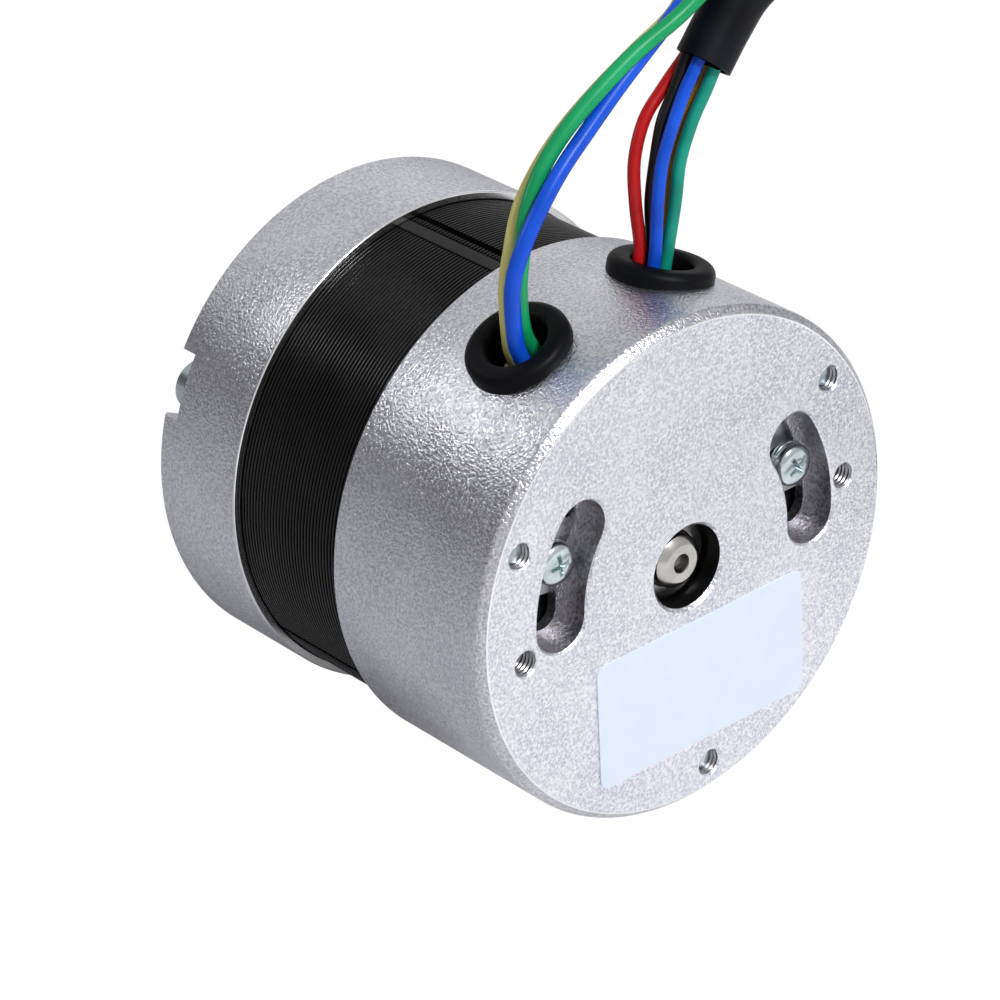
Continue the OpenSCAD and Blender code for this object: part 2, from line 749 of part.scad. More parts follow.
module sensor_carrier() color(plastic) axial() difference() {
    union() {
        ring(carrier_radius, carrier_bore, carrier_front, plate_front);
        for (angle = screw_angles)
            at_angle(angle, slot_radius) disc(screw_boss_radius, screw_boss_front, plate_front);
        for (angle = post_angles) at_angle(angle, post_ring) {
            disc(post_radius, board_rear, carrier_front + 0.5);
            disc(pin_radius, board_front - 0.4, board_rear + 0.5);
        }
    }
    for (angle = screw_angles)
        at_angle(angle, slot_radius) disc(timing_thread / 2, carrier_front - 3, plate_front + 1);
}

module sensor_board() color([0.06, 0.3, 0.14]) axial() difference() {
    ring(board_radius, 8, board_front, board_rear);
    for (angle = post_angles)
        at_angle(angle, post_ring) disc(pin_radius + running_clearance, board_front - 1, board_rear + 1);
}

module hall_sensors() color([0.08, 0.08, 0.08]) axial() for (angle = [60, 120, 180])
    at_angle(angle, sensor_radius) {
    translate([-sensor_thickness / 2, -sensor_width / 2, board_front - sensor_gap - sensor_height])
        cube([sensor_thickness, sensor_width, sensor_height]);
    for (leg = [-1, 0, 1])
        translate([-sensor_leg / 2, leg * sensor_leg_pitch - sensor_leg / 2, board_front - sensor_gap - 0.2])
            cube([sensor_leg, sensor_leg, sensor_gap + 0.2]);
}

module sensor_plug() color(white_plastic) axial() at_angle(plug_angle)
    translate([plug_face - plug_depth, -plug_half, board_rear])
        cube([plug_depth, 2 * plug_half, plug_height]);

// grommets and label

module grommet(angle) axial() at_angle(angle) difference() {
    union() {
        difference() {
            translate([cap_radius - 1.2, 0, lead_height]) rotate([0, 90, 0]) rotate_extrude() {
                square([grommet_flange / 2, grommet_proud + 1.2 - grommet_round]);
                square([grommet_flange / 2 - grommet_round, grommet_proud + 1.2]);
                translate([grommet_flange / 2 - grommet_round, grommet_proud + 1.2 - grommet_round])
                    circle(r = grommet_round);
            }
            disc(cap_radius, 0, body_length);
        }
        outward(wall_hole / 2 - running_clearance, cap_inner - 1.2, cap_radius + 0.5, lead_height);
        intersection() {
            outward(grommet_inner_flange / 2, cap_inner - 1.2, cap_radius, lead_height);
            disc(cap_inner, 0, body_length);
        }
    }
    outward(grommet_bore / 2, cap_inner - 3, cap_radius + 4, lead_height);
}

module phase_grommet() color(rubber) grommet(phase_grommet_angle);

module sensor_grommet() color(rubber) grommet(sensor_grommet_angle);

label_tilt = 5;
label_corner = 1.2;

module rating_label() color([0.92, 0.95, 0.99])
    translate([-0.15, body_length, -14.1]) rotate([-90, -label_tilt, 0]) {
        translate([-label_length / 2, label_corner - label_height / 2, 0])
            cube([label_length, label_height - 2 * label_corner, label_thickness]);
        translate([label_corner - label_length / 2, -label_height / 2, 0])
            cube([label_length - 2 * label_corner, label_height, label_thickness]);
        for (across = [-1, 1], up = [-1, 1])
            translate([across * (label_length / 2 - label_corner), up * (label_height / 2 - label_corner), 0])
                cylinder(r = label_corner, h = label_thickness);
    }

// leads

function unit(v) = v / norm(v);

function between(a, b, c, d, t) = 0.5 * (2 * b + (c - a) * t + (2 * a - 5 * b + 4 * c - d) * t * t
    + (3 * b - a - 3 * c + d) * t * t * t);

// curve through all route points, with a point about every step
function smooth_route(points, step) = let (last = len(points) - 1) concat(
    [for (i = [0 : last - 1])
        let (parts = max(1, round(norm(points[i + 1] - points[i]) / step)),
            before = i > 0 ? points[i - 1] : 2 * points[0] - points[1],
            after = i < last - 1 ? points[i + 2] : 2 * points[last] - points[last - 1])
        for (j = [0 : parts - 1]) between(before, points[i], points[i + 1], after, j / parts)],
    [points[last]]);

function directions(path) = let (last = len(path) - 1)
    [for (i = [0 : last]) unit(path[min(i + 1, last)] - path[max(i - 1, 0)])];

function level(v, along) = unit(v - (v * along) * along);

// side directions carried along the path without twist
function carried_sides(along) =
    [for (i = 0, v = level([0.3, 0.9, 0.2], along[0]); i < len(along);
        i = i + 1, v = i < len(along) ? level(v, along[i]) : v) v];

module cord(points, diameter, step, sides = 8) {
    path = smooth_route(points, step);
    along = directions(path);
    side = carried_sides(along);
    rings = len(path);
    polyhedron(
        points = [for (i = [0 : rings - 1], k = [0 : sides - 1])
            path[i] + diameter / 2 * (cos(360 * k / sides) * side[i]
                + sin(360 * k / sides) * cross(along[i], side[i]))],
        faces = concat(
            [[for (k = [0 : sides - 1]) k]],
            [for (i = [0 : rings - 2], k = [0 : sides - 1])
                let (a = i * sides + k, b = i * sides + (k + 1) % sides)
                each [[a, a + sides, b], [b, a + sides, b + sides]]],
            [[for (k = [sides - 1 : -1 : 0]) (rings - 1) * sides + k]]));
}

// point at a radius in a lead hole, moved sideways and in height inside the hole
function in_hole(angle, radius, sideways, up) = [
    radius * cos(angle) + sideways * sin(angle),
    lead_height + up,
    radius * sin(angle) - sideways * cos(angle)];

// a phase lead leaves the terminal block straight, up to a depth inside its grommet
function phase_start(sideways, up, depth) = [for (radius = [block_face, block_face + 1.6, cap_radius - depth])
    in_hole(phase_grommet_angle, radius, sideways, up)];

lift = [0, lead_height - 42.7, 0];

function lifted(points) = [for (point = points) point + lift];

// shared way of the three phase leads past the top of the picture, down and along the floor
phase_way = [
    [-22, 42.5, 58.4], [-28.2, 42.3, 62.2], [-37, 42.2, 63.3], [-46.5, 42.2, 61.6], [-55.5, 42.6, 57],
    [-63, 42.6, 49.8], [-68, 42.6, 40.2], [-69.8, 42.6, 29], [-70, 42.6, 17], [-70, 42.6, 5], [-70, 42.8, -6],
    [-70, 44.9, -16.8], [-70, 50, -24.6]];
phase_beside = [
    [0, -1], [0, -1], [0, -1], [0, -1], [0, -1], [0, -1], [-0.17, -0.98], [-0.5, -0.87], [-0.77, -0.64],
    [-0.94, -0.34], [-1, 0], [-1, 0], [-1, 0]];

// the leads lie on the floor in one wide bend round this point
bend_x = -36;
bend_y = 79;
phase_bend_radius = 34;
sleeve_bend_radius = 27;

// straight run up to the bend, the bend and a short straight end, all on the floor
function floor_bend(radius, height, straight, end_x) = concat(
    [for (y = straight) [bend_x - radius, y, height]],
    [for (angle = [180 : -22.5 : 90]) [bend_x + radius * cos(angle), bend_y + radius * sin(angle), height]],
    [[end_x, bend_y + radius, height]]);

function phase_rest(offset) = let (height = floor_level + phase_lead_diameter / 2) concat(
    [for (i = [0 : len(phase_way) - 1])
        phase_way[i] + lift + offset * [phase_beside[i][0], phase_beside[i][1], 0]],
    floor_bend(phase_bend_radius + offset, height, [58, 68], -26));

phase_spacing = 2;
phase_step = 4.2;

module phase_lead_yellow() color([0.78, 0.75, 0.42]) cord(concat(phase_start(0.1, -1.5, 0.7), lifted([
    [9.1, 41, 32.8], [7.8, 40.9, 36.7], [5.9, 40.6, 40.4], [2.9, 40.5, 43.6], [-1, 40.5, 46.4],
    [-6.2, 40.2, 48.6], [-11.9, 40.1, 50.7], [-17.6, 40.1, 52.9]]), phase_rest(phase_spacing)),
    phase_lead_diameter, phase_step);

module phase_lead_green() color([0.06, 0.63, 0.38]) cord(concat(phase_start(-1.2, 0.3, 1.3), lifted([
    [9.2, 43, 28.8], [9, 42.9, 33.4], [7.9, 42.8, 37.4], [6.4, 42.5, 41.2], [3.9, 42.4, 44.7],
    [0.4, 42.5, 47.6], [-4.1, 42.9, 50.3], [-9.3, 43.3, 52.7], [-15.6, 43.7, 54.7]]),
    phase_rest(-phase_spacing)), phase_lead_diameter, phase_step);

module phase_lead_blue() color([0.12, 0.37, 0.88]) cord(concat(phase_start(0.7, 1.2, 1.3), lifted([
    [11, 43.9, 28.1], [10.7, 44, 34.6], [9, 44.2, 38.4], [6.3, 44.3, 41.8], [2.7, 44, 44.7],
    [-1.7, 43.4, 47], [-6.5, 42.7, 49.3], [-11.4, 42.2, 51.6], [-16.4, 41.7, 53.9]]),
    phase_rest(0)), phase_lead_diameter, phase_step);

// play between the plug and the rigid leads, so that the sensor ring can turn
plug_play = 0.35;

// the sensor leads start in a row at the plug and bunch up in their grommet
function sensor_start(row, row_up, sideways, up) = [
    in_hole(sensor_grommet_angle, plug_face + plug_play, row, row_up),
    in_hole(sensor_grommet_angle, plug_face + 1.4, row, row_up),
    in_hole(sensor_grommet_angle, plug_face + 3.3, 0.62 * row + 0.38 * sideways, 0.6 * row_up + 0.4 * up),
    in_hole(sensor_grommet_angle, 23.5, sideways, up),
    in_hole(sensor_grommet_angle, 26.5, sideways, up),
    in_hole(sensor_grommet_angle, cap_radius + 1.7, sideways, up)];

sensor_step = 2.4;

module sensor_lead_red() color([0.72, 0.09, 0.1]) cord(concat(sensor_start(3.2, -0.7, 2.2, -1.27), lifted([
    [-8.6, 41.3, 30.6], [-8.9, 40.9, 35], [-9.7, 40.5, 39.2], [-11.7, 40.3, 42.9], [-14.5, 40.3, 45.2]]),
    [sleeve_mouth(0.32, -2.28)]), sensor_lead_diameter, sensor_step);

module sensor_lead_black() color([0.05, 0.05, 0.06]) cord(concat(sensor_start(0, -0.7, 0.6, -1.2), lifted([
    [-10.1, 41.5, 30], [-10.4, 41.6, 34.6], [-11.4, 41.8, 38.9], [-12.8, 41.9, 42.9], [-14.8, 42, 45.6]]),
    [sleeve_mouth(1.33, -1.2, 0.08)]), sensor_lead_diameter, sensor_step);

module sensor_lead_blue() color([0.14, 0.42, 0.9]) cord(concat(sensor_start(1.6, 0.1, 1.7, 0.5), lifted([
    [-9.2, 43.2, 31.1], [-9.9, 43.3, 35.4], [-11, 43.4, 39.6], [-13, 43.5, 43.4], [-14.8, 43.5, 46]]),
    [sleeve_mouth(1.27, 0.5)]), sensor_lead_diameter, sensor_step);

module sensor_lead_yellow() color([0.7, 0.52, 0.15]) cord(concat(sensor_start(-3.2, -0.7, -1.4, -1.1),
    lifted([
    [-12, 41.6, 29.2], [-12.8, 41.7, 33.6], [-13.7, 41.8, 37.9], [-15.5, 42.1, 41.8], [-17.3, 42.4, 44.6]]),
    [sleeve_mouth(-0.69, -0.32, 0.28)]), sensor_lead_diameter, sensor_step);

module sensor_lead_green() color([0.1, 0.62, 0.52]) cord(concat(sensor_start(-1.6, 0.1, -0.4, 0.1), lifted([
    [-11.2, 42.9, 30], [-12.4, 43.1, 34.2], [-13.4, 43.3, 38.5], [-15.3, 43.6, 42.4], [-17.1, 44, 45.2]]),
    [sleeve_mouth(-0.43, 1.36, 0.28)]), sensor_lead_diameter, sensor_step);

sleeve_way = [
    [-18, 43, 47.7], [-21.2, 43.05, 50.9], [-24.4, 43.5, 53.9], [-28.4, 45.3, 56.4], [-33.6, 47.8, 57.7],
    [-40, 49, 57.2], [-47.5, 49, 54.6], [-54.2, 49, 49.8], [-59.6, 49, 42.6], [-62.5, 49, 34], [-63, 49, 22],
    [-63, 49, 9], [-63, 49.3, -3], [-63, 51.3, -13.5], [-63, 57, -21.8]];

sleeve_route = concat(lifted(sleeve_way),
    floor_bend(sleeve_bend_radius, floor_level + sleeve_diameter / 2, [66], -33.5));

// point beside the start of the sleeve, back a little way from its flat end face
function sleeve_mouth(outwards, up, back = 0) =
    let (along = unit(sleeve_route[1] - sleeve_route[0]), over = unit(cross([0, 1, 0], along)))
    sleeve_route[0] + outwards * over + up * cross(along, over) - back * along;

module sensor_sleeve() color(rubber) cord(sleeve_route, sleeve_diameter, 4.2, 12);

// the five leads leave the far end of the sleeve and lie side by side
tail_way = [[-25, 105.7], [-17, 105.5], [-8, 105.5], [0, 105.5]];

module tail(sideways, up, row) cord(let (start = sleeve_route[len(sleeve_route) - 1] + [0, sideways, up])
    concat([start, start + [2, 0, 0]],
        [for (point = tail_way) [point[0], point[1] + row, floor_level + sensor_lead_diameter / 2]]),
    sensor_lead_diameter, 3.2);

module sensor_tail_red() color([0.72, 0.09, 0.1]) tail(1.9, -0.9, 3);

module sensor_tail_black() color([0.05, 0.05, 0.06]) tail(0.9, 0.9, 1.5);

module sensor_tail_blue() color([0.14, 0.42, 0.9]) tail(0, -1.2, 0);

module sensor_tail_yellow() color([0.7, 0.52, 0.15]) tail(-0.9, 0.9, -1.5);

module sensor_tail_green() color([0.1, 0.62, 0.52]) tail(-1.9, -0.9, -3);

front_end_cap();
rear_end_cap();
stator_core();
core_cleats();
front_slot_insulator();
rear_slot_insulator();
phase_u_coils();
phase_v_coils();
phase_w_coils();
through_bolts();
front_wave_washer();
front_bearing_outer_ring();
rear_bearing_outer_ring();
front_bearing_seals();
rear_bearing_seals();
phase_grommet();
sensor_grommet();
phase_lead_yellow();
phase_lead_green();
phase_lead_blue();
sensor_lead_red();
sensor_lead_black();
sensor_lead_blue();
sensor_lead_yellow();
sensor_lead_green();
sensor_sleeve();
sensor_tail_red();
sensor_tail_black();
sensor_tail_blue();
sensor_tail_yellow();
sensor_tail_green();
rating_label();
motor_shaft();
rotor_core();
rotor_magnets();
front_bearing_inner_ring();
rear_bearing_inner_ring();
front_bearing_balls();
front_bearing_cage();
rear_bearing_balls();
rear_bearing_cage();
sensor_carrier();
sensor_board();
hall_sensors();
sensor_plug();
timing_screws();
timing_lock_washers();
timing_plates();
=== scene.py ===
# %% [markdown]
# # A round brushless motor, built around its solid model
#
# The solid model gives every part its real place and size. This lesson keeps that frame, and
# builds the surfaces that the eye sees: blasted castings, black sheet edges, rubber, coloured
# leads, zinc screws and ground steel. All lengths in the helpers are millimetres, and a mesh is
# turned to metres once, when it is finished.

# %% Load the frame
import json
import math

import bmesh
import bpy
from mathutils import Matrix, Vector


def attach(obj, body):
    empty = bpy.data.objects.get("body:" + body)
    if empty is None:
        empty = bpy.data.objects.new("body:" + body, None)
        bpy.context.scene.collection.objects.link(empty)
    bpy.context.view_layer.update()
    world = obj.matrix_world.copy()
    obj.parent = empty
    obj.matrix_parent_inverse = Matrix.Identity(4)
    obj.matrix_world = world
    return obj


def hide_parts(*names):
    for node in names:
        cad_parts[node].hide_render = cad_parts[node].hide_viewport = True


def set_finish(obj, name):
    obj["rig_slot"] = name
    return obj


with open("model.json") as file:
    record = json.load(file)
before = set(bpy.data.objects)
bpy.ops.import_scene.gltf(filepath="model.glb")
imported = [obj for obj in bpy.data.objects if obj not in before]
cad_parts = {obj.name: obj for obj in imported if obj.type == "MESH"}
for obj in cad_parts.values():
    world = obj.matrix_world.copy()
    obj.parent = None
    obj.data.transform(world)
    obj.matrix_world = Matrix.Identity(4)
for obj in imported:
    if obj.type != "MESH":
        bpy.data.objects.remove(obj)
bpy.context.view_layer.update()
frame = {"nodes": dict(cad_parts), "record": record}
nodes = frame["nodes"]

# %% [markdown]
# ## Camera
#
# The camera stands where the photographer's stood: behind the motor, to one side and above it.
# Its three directions were solved from ellipses and edges in the picture, so they are written
# down as a matrix instead of being aimed at a point.

# %% Camera
MM = 0.001
EYE = Vector((237.164, 335.874, 243.716)) * MM
RIGHT = Vector((-0.74789, 0.65469, -0.10974))
UP = Vector((-0.42364, -0.34345, 0.83819))
FORWARD = Vector((-0.51107, -0.67336, -0.53422))
LENS_MM = 153.57

camera_data = bpy.data.cameras.new("photo_camera")
camera_data.lens = LENS_MM
camera_data.sensor_width = 36
camera_data.clip_start = 0.01
camera = bpy.data.objects.new("photo_camera", camera_data)
turn = Matrix((RIGHT, UP, -FORWARD)).transposed()
camera.matrix_world = Matrix.Translation(EYE) @ turn.to_4x4()
bpy.context.scene.collection.objects.link(camera)
bpy.context.scene.camera = camera
print("lens", LENS_MM, "mm, distance", round(EYE.length, 3), "m")

# %% [markdown]
# ## Sizes shared by several pieces
#
# They repeat the sizes of the solid model: the shaft lies along Y, the mounting face is at 0 and
# the rear face at 54. Angles run from +X towards +Z.

# %% Shared sizes
REAR_FACE = 54.0
CAP_RADIUS = 28.5
FRONT_CAP_RADIUS = 28.3
CAP_SEAT_RADIUS = 27.33
CAP_INSIDE_RADIUS = 25.6
STACK_RADIUS = 27.3
FRONT_CAP_END = 13.7
REAR_CAP_START = 30.7
STACK_FRONT = 11.7
STACK_REAR = 32.7
FLOOR = -28.5
LEAD_HOLE_Y = 42.7
LEAD_HOLE_RADIUS = 4.5
BOLT_RADIUS = 25.0
BOLT_ANGLES = (30, 150, 270)
TAPPED_RADIUS = 22.6
TAPPED_ANGLES = (0, 180)
THREAD_PITCH = 0.5
CLEARANCE_RADIUS = 1.65
MOUNT_RADIUS = 18.0
MOUNT_ANGLES = (45, 135, 225, 315)
STRIP_ANGLES = (88.8, 208.8, 328.8)
SHEETS = 42
SHEET_PITCH = 0.5
SLOT_RADIUS = 17.6
LEDGE_Y = 50.8


def around(angle, radius, y=0.0):
    """A point at an angle round the shaft, counted from +X towards +Z."""
    turn = math.radians(angle)
    return Vector((radius * math.cos(turn), y, radius * math.sin(turn)))


# %% [markdown]
# ## Cords first
#
# Each lead is a fixed length of wire that follows a smooth curve through listed points, the
# same points as in the solid model. A curve object with a round bevel is the natural form of a
# wire: its own line is its centreline.

# %% Curve through route points
def between(a, b, c, d, t):
    """Catmull-Rom curve from b to c."""
    return 0.5 * (2 * b + (c - a) * t + (2 * a - 5 * b + 4 * c - d) * t * t
                  + (3 * b - a - 3 * c + d) * t * t * t)


def smooth_route(points, step):
    points = [Vector(p) for p in points]
    ends = [2 * points[0] - points[1], *points, 2 * points[-1] - points[-2]]
    path = []
    for a, b, c, d in zip(ends, ends[1:], ends[2:], ends[3:]):
        parts = max(1, round((c - b).length / step))
        path += [between(a, b, c, d, j / parts) for j in range(parts)]
    return path + [points[-1]]


def length_of(path):
    return sum((b - a).length for a, b in zip(path, path[1:]))


def in_hole(angle, radius, sideways, up):
    """A point in a lead hole, moved sideways and along the shaft inside the hole."""
    turn = math.radians(angle)
    return (radius * math.cos(turn) + sideways * math.sin(turn), LEAD_HOLE_Y + up,
            radius * math.sin(turn) - sideways * math.cos(turn))


# %% Routes of the three phase leads
PHASE_HOLE, SENSOR_HOLE = 70, 110
PHASE_DIAMETER, SENSOR_DIAMETER, SLEEVE_DIAMETER = 1.75, 1.4, 6.1


def phase_start(sideways, up, depth):
    return [in_hole(PHASE_HOLE, radius, sideways, up) for radius in (22.8, 24.4, CAP_RADIUS - depth)]


PHASE_WAY = [
    (-22, 42.5, 58.4), (-28.2, 42.3, 62.2), (-37, 42.2, 63.3), (-46.5, 42.2, 61.6), (-55.5, 42.6, 57),
    (-63, 42.6, 49.8), (-68, 42.6, 40.2), (-69.8, 42.6, 29), (-70, 42.6, 17), (-70, 42.6, 5),
    (-70, 42.8, -6), (-70, 44.9, -16.8), (-70, 50, -24.6)]
PHASE_BESIDE = ([(0, -1)] * 6 + [(-0.17, -0.98), (-0.5, -0.87), (-0.77, -0.64), (-0.94, -0.34)]
                + [(-1, 0)] * 3)


BEND_X, BEND_Y = -36, 79


def floor_bend(radius, height, straight, end_x):
    """Points on the floor: a straight run, a wide quarter bend and a short straight end."""
    bend = [(BEND_X + radius * math.cos(turn), BEND_Y + radius * math.sin(turn), height)
            for turn in (math.radians(a) for a in (180, 157.5, 135, 112.5, 90))]
    return [(BEND_X - radius, y, height) for y in straight] + bend + [(end_x, BEND_Y + radius, height)]


def phase_rest(offset):
    high = [(x + offset * dx, y + offset * dy, z)
            for (x, y, z), (dx, dy) in zip(PHASE_WAY, PHASE_BESIDE)]
    return high + floor_bend(34 + offset, FLOOR + PHASE_DIAMETER / 2, (58, 68), -26)


phase_routes = {
    "phase_lead_yellow": phase_start(0.1, -1.5, 0.7) + [
        (9.1, 41, 32.8), (7.8, 40.9, 36.7), (5.9, 40.6, 40.4), (2.9, 40.5, 43.6), (-1, 40.5, 46.4),
        (-6.2, 40.2, 48.6), (-11.9, 40.1, 50.7), (-17.6, 40.1, 52.9)] + phase_rest(2),
    "phase_lead_green": phase_start(-1.2, 0.3, 1.3) + [
        (9.2, 43, 28.8), (9, 42.9, 33.4), (7.9, 42.8, 37.4), (6.4, 42.5, 41.2), (3.9, 42.4, 44.7),
        (0.4, 42.5, 47.6), (-4.1, 42.9, 50.3), (-9.3, 43.3, 52.7), (-15.6, 43.7, 54.7)] + phase_rest(-2),
    "phase_lead_blue": phase_start(0.7, 1.2, 1.3) + [
        (11, 43.9, 28.1), (10.7, 44, 34.6), (9, 44.2, 38.4), (6.3, 44.3, 41.8), (2.7, 44, 44.7),
        (-1.7, 43.4, 47), (-6.5, 42.7, 49.3), (-11.4, 42.2, 51.6), (-16.4, 41.7, 53.9)] + phase_rest(0)}

# %% Routes of the sensor leads and their sleeve
SLEEVE_WAY = [
    (-18, 43, 47.7), (-21.2, 43.05, 50.9), (-24.4, 43.5, 53.9), (-28.4, 45.3, 56.4), (-33.6, 47.8, 57.7),
    (-40, 49, 57.2), (-47.5, 49, 54.6), (-54.2, 49, 49.8), (-59.6, 49, 42.6), (-62.5, 49, 34), (-63, 49, 22),
    (-63, 49, 9), (-63, 49.3, -3), (-63, 51.3, -13.5), (-63, 57, -21.8)]
sleeve_route = SLEEVE_WAY + floor_bend(27, FLOOR + SLEEVE_DIAMETER / 2, (66,), -33.5)


def sleeve_point(outwards, up):
    """A point in the mouth of the sleeve."""
    start, second = Vector(sleeve_route[0]), Vector(sleeve_route[1])
    along = (second - start).normalized()
    over = Vector((0, 1, 0)).cross(along).normalized()
    return tuple(start + outwards * over + up * along.cross(over))


def sensor_start(row, row_up, sideways, up):
    mixed = (0.62 * row + 0.38 * sideways, 0.6 * row_up + 0.4 * up)
    return ([in_hole(SENSOR_HOLE, r, row, row_up) for r in (18.35, 19.4)]
            + [in_hole(SENSOR_HOLE, 21.3, *mixed)]
            + [in_hole(SENSOR_HOLE, r, sideways, up) for r in (23.5, 26.5, 30.2)])


sensor_routes = {
    "sensor_lead_red": sensor_start(3.2, -0.7, 2.2, -1.27) + [
        (-8.6, 41.3, 30.6), (-8.9, 40.9, 35), (-9.7, 40.5, 39.2), (-11.7, 40.3, 42.9), (-14.5, 40.3, 45.2),
        sleeve_point(0.32, -2.28)],
    "sensor_lead_black": sensor_start(0, -0.7, 0.6, -1.2) + [
        (-10.1, 41.5, 30), (-10.4, 41.6, 34.6), (-11.4, 41.8, 38.9), (-12.8, 41.9, 42.9), (-14.8, 42, 45.6),
        sleeve_point(1.33, -1.2)],
    "sensor_lead_blue": sensor_start(1.6, 0.1, 1.7, 0.5) + [
        (-9.2, 43.2, 31.1), (-9.9, 43.3, 35.4), (-11, 43.4, 39.6), (-13, 43.5, 43.4), (-14.8, 43.5, 46),
        sleeve_point(1.27, 0.5)],
    "sensor_lead_yellow": sensor_start(-3.2, -0.7, -1.4, -1.1) + [
        (-12, 41.6, 29.2), (-12.8, 41.7, 33.6), (-13.7, 41.8, 37.9), (-15.5, 42.1, 41.8), (-17.3, 42.4, 44.6),
        sleeve_point(-0.69, -0.32)],
    "sensor_lead_green": sensor_start(-1.6, 0.1, -0.4, 0.1) + [
        (-11.2, 42.9, 30), (-12.4, 43.1, 34.2), (-13.4, 43.3, 38.5), (-15.3, 43.6, 42.4), (-17.1, 44, 45.2),
        sleeve_point(-0.43, 1.36)]}

# %% Routes of the five leads behind the sleeve
TAIL_WAY = [(-25, 105.7), (-17, 105.5), (-8, 105.5), (0, 105.5)]
TAILS = {
    "sensor_tail_red": (1.9, -0.9, 3), "sensor_tail_black": (0.9, 0.9, 1.5), "sensor_tail_blue": (0, -1.2, 0),
    "sensor_tail_yellow": (-0.9, 0.9, -1.5), "sensor_tail_green": (-1.9, -0.9, -3)}
tail_routes = {}
for name, (sideways, up, row) in TAILS.items():
    x, y, z = sleeve_route[-1]
    tail_routes[name] = [(x, y + sideways, z + up), (x + 2, y + sideways, z + up)] + [
        (tail_x, tail_y + row, FLOOR + SENSOR_DIAMETER / 2) for tail_x, tail_y in TAIL_WAY]

# %% Cord curves
COLOUR_OF = {
    "phase_lead_yellow": "lead_yellow", "phase_lead_green": "lead_green", "phase_lead_blue": "lead_blue",
    "red": "lead_red", "black": "lead_black", "blue": "lead_blue", "yellow": "lead_ochre",
    "green": "lead_teal"}
cords = {}


def cord_curve(name, route, diameter, step):
    path = smooth_route(route, step)
    data = bpy.data.curves.new(name + "_cord", "CURVE")
    data.dimensions = "3D"
    data.bevel_depth = 1.0  # times the radius of each point
    data.bevel_resolution = 4
    data.use_fill_caps = True
    spline = data.splines.new("POLY")
    spline.points.add(len(path) - 1)
    for point, place in zip(spline.points, path):
        point.co = (*(place * MM), 1)
        point.radius = diameter / 2 * MM
    spline.use_smooth = True
    cord = bpy.data.objects.new(name + "_cord", data)
    bpy.context.scene.collection.objects.link(cord)
    cords[name] = (cord, path, diameter)


for name, route in phase_routes.items():
    cord_curve(name, route, PHASE_DIAMETER, 1.2)
for name, route in {**sensor_routes, **tail_routes}.items():
    cord_curve(name, route, SENSOR_DIAMETER, 0.8)

for name, (cord, path, diameter) in cords.items():
    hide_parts(name)
    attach(cord, "housing")
    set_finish(cord, COLOUR_OF.get(name, COLOUR_OF.get(name.split("_")[-1])))
    print(name, round(length_of(path), 1), "mm")

# %% [markdown]
# ## Building helpers
#
# A turned part is a closed outline of radius and height that is spun round the shaft. Slots and
# holes are cut out with Booleans, and a bevel then breaks every edge, because a real edge is
# never sharp and its thin highlight is what makes a metal part look made.

# %% Mesh helpers
def rounded(corners, steps=5):
    """Outline from (radius, height, fillet) corners, with an arc at each corner that has a fillet."""
    outline = []
    for i, (r, h, fillet) in enumerate(corners):
        here = Vector((r, h))
        if fillet <= 0:
            outline.append((r, h))
            continue
        before = (Vector(corners[i - 1][:2]) - here).normalized()
        after = (Vector(corners[(i + 1) % len(corners)][:2]) - here).normalized()
        half = before.angle(after) / 2
        back = fillet / math.tan(half)
        centre = here + (before + after).normalized() * (fillet / math.sin(half))
        a, b = here + before * back - centre, here + after * back - centre
        sweep = a.angle(b)
        for k in range(steps + 1):
            t = k / steps
            p = centre + (a * math.sin((1 - t) * sweep) + b * math.sin(t * sweep)) / math.sin(sweep)
            outline.append((p.x, p.y))
    return outline


def mesh_object(name, bm):
    bmesh.ops.remove_doubles(bm, verts=bm.verts, dist=1e-5)
    bmesh.ops.recalc_face_normals(bm, faces=bm.faces)
    mesh = bpy.data.meshes.new(name)
    bm.to_mesh(mesh)
    bm.free()
    obj = bpy.data.objects.new(name, mesh)
    bpy.context.scene.collection.objects.link(obj)
    return obj


def join_rings(bm, low, high):
    """Faces between two rings of points."""
    for i in range(len(low)):
        j = (i + 1) % len(low)
        bm.faces.new((low[i], low[j], high[j], high[i]))


def turned(name, outline, turns=192, closed=True):
    """Spins an outline of (radius, height) round the shaft."""
    bm = bmesh.new()
    rings = []
    for radius, height in outline:
        if radius < 1e-6:
            rings.append([bm.verts.new((0, height, 0))])
        else:
            rings.append([bm.verts.new(around(360 * i / turns, radius, height)) for i in range(turns)])
    pairs = list(zip(rings, rings[1:])) + ([(rings[-1], rings[0])] if closed else [])
    for low, high in pairs:
        for i in range(turns):
            j = (i + 1) % turns
            corners = [low[i % len(low)], low[j % len(low)], high[j % len(high)], high[i % len(high)]]
            corners = list(dict.fromkeys(corners))
            if len(corners) > 2:
                bm.faces.new(corners)
    return mesh_object(name, bm)


def prism(name, outline, low, high, flared=None):
    """Pushes an outline of (x, z) points along the shaft, to a wider one where it is flared."""
    bm = bmesh.new()
    bottom = [bm.verts.new((x, low, z)) for x, z in outline]
    top = [bm.verts.new((x, high, z)) for x, z in flared or outline]
    bm.faces.new(bottom)
    bm.faces.new(top)
    join_rings(bm, bottom, top)
    return mesh_object(name, bm)


def circle(centre, radius, count=48):
    """Outline of a round hole whose axis lies along the shaft."""
    return [(centre.x + radius * math.cos(2 * math.pi * i / count),
             centre.z + radius * math.sin(2 * math.pi * i / count)) for i in range(count)]


def settle(obj):
    """Applies the modifiers of a piece."""
    graph = bpy.context.evaluated_depsgraph_get()
    mesh = bpy.data.meshes.new_from_object(obj.evaluated_get(graph))
    obj.modifiers.clear()
    obj.data = mesh
    return obj


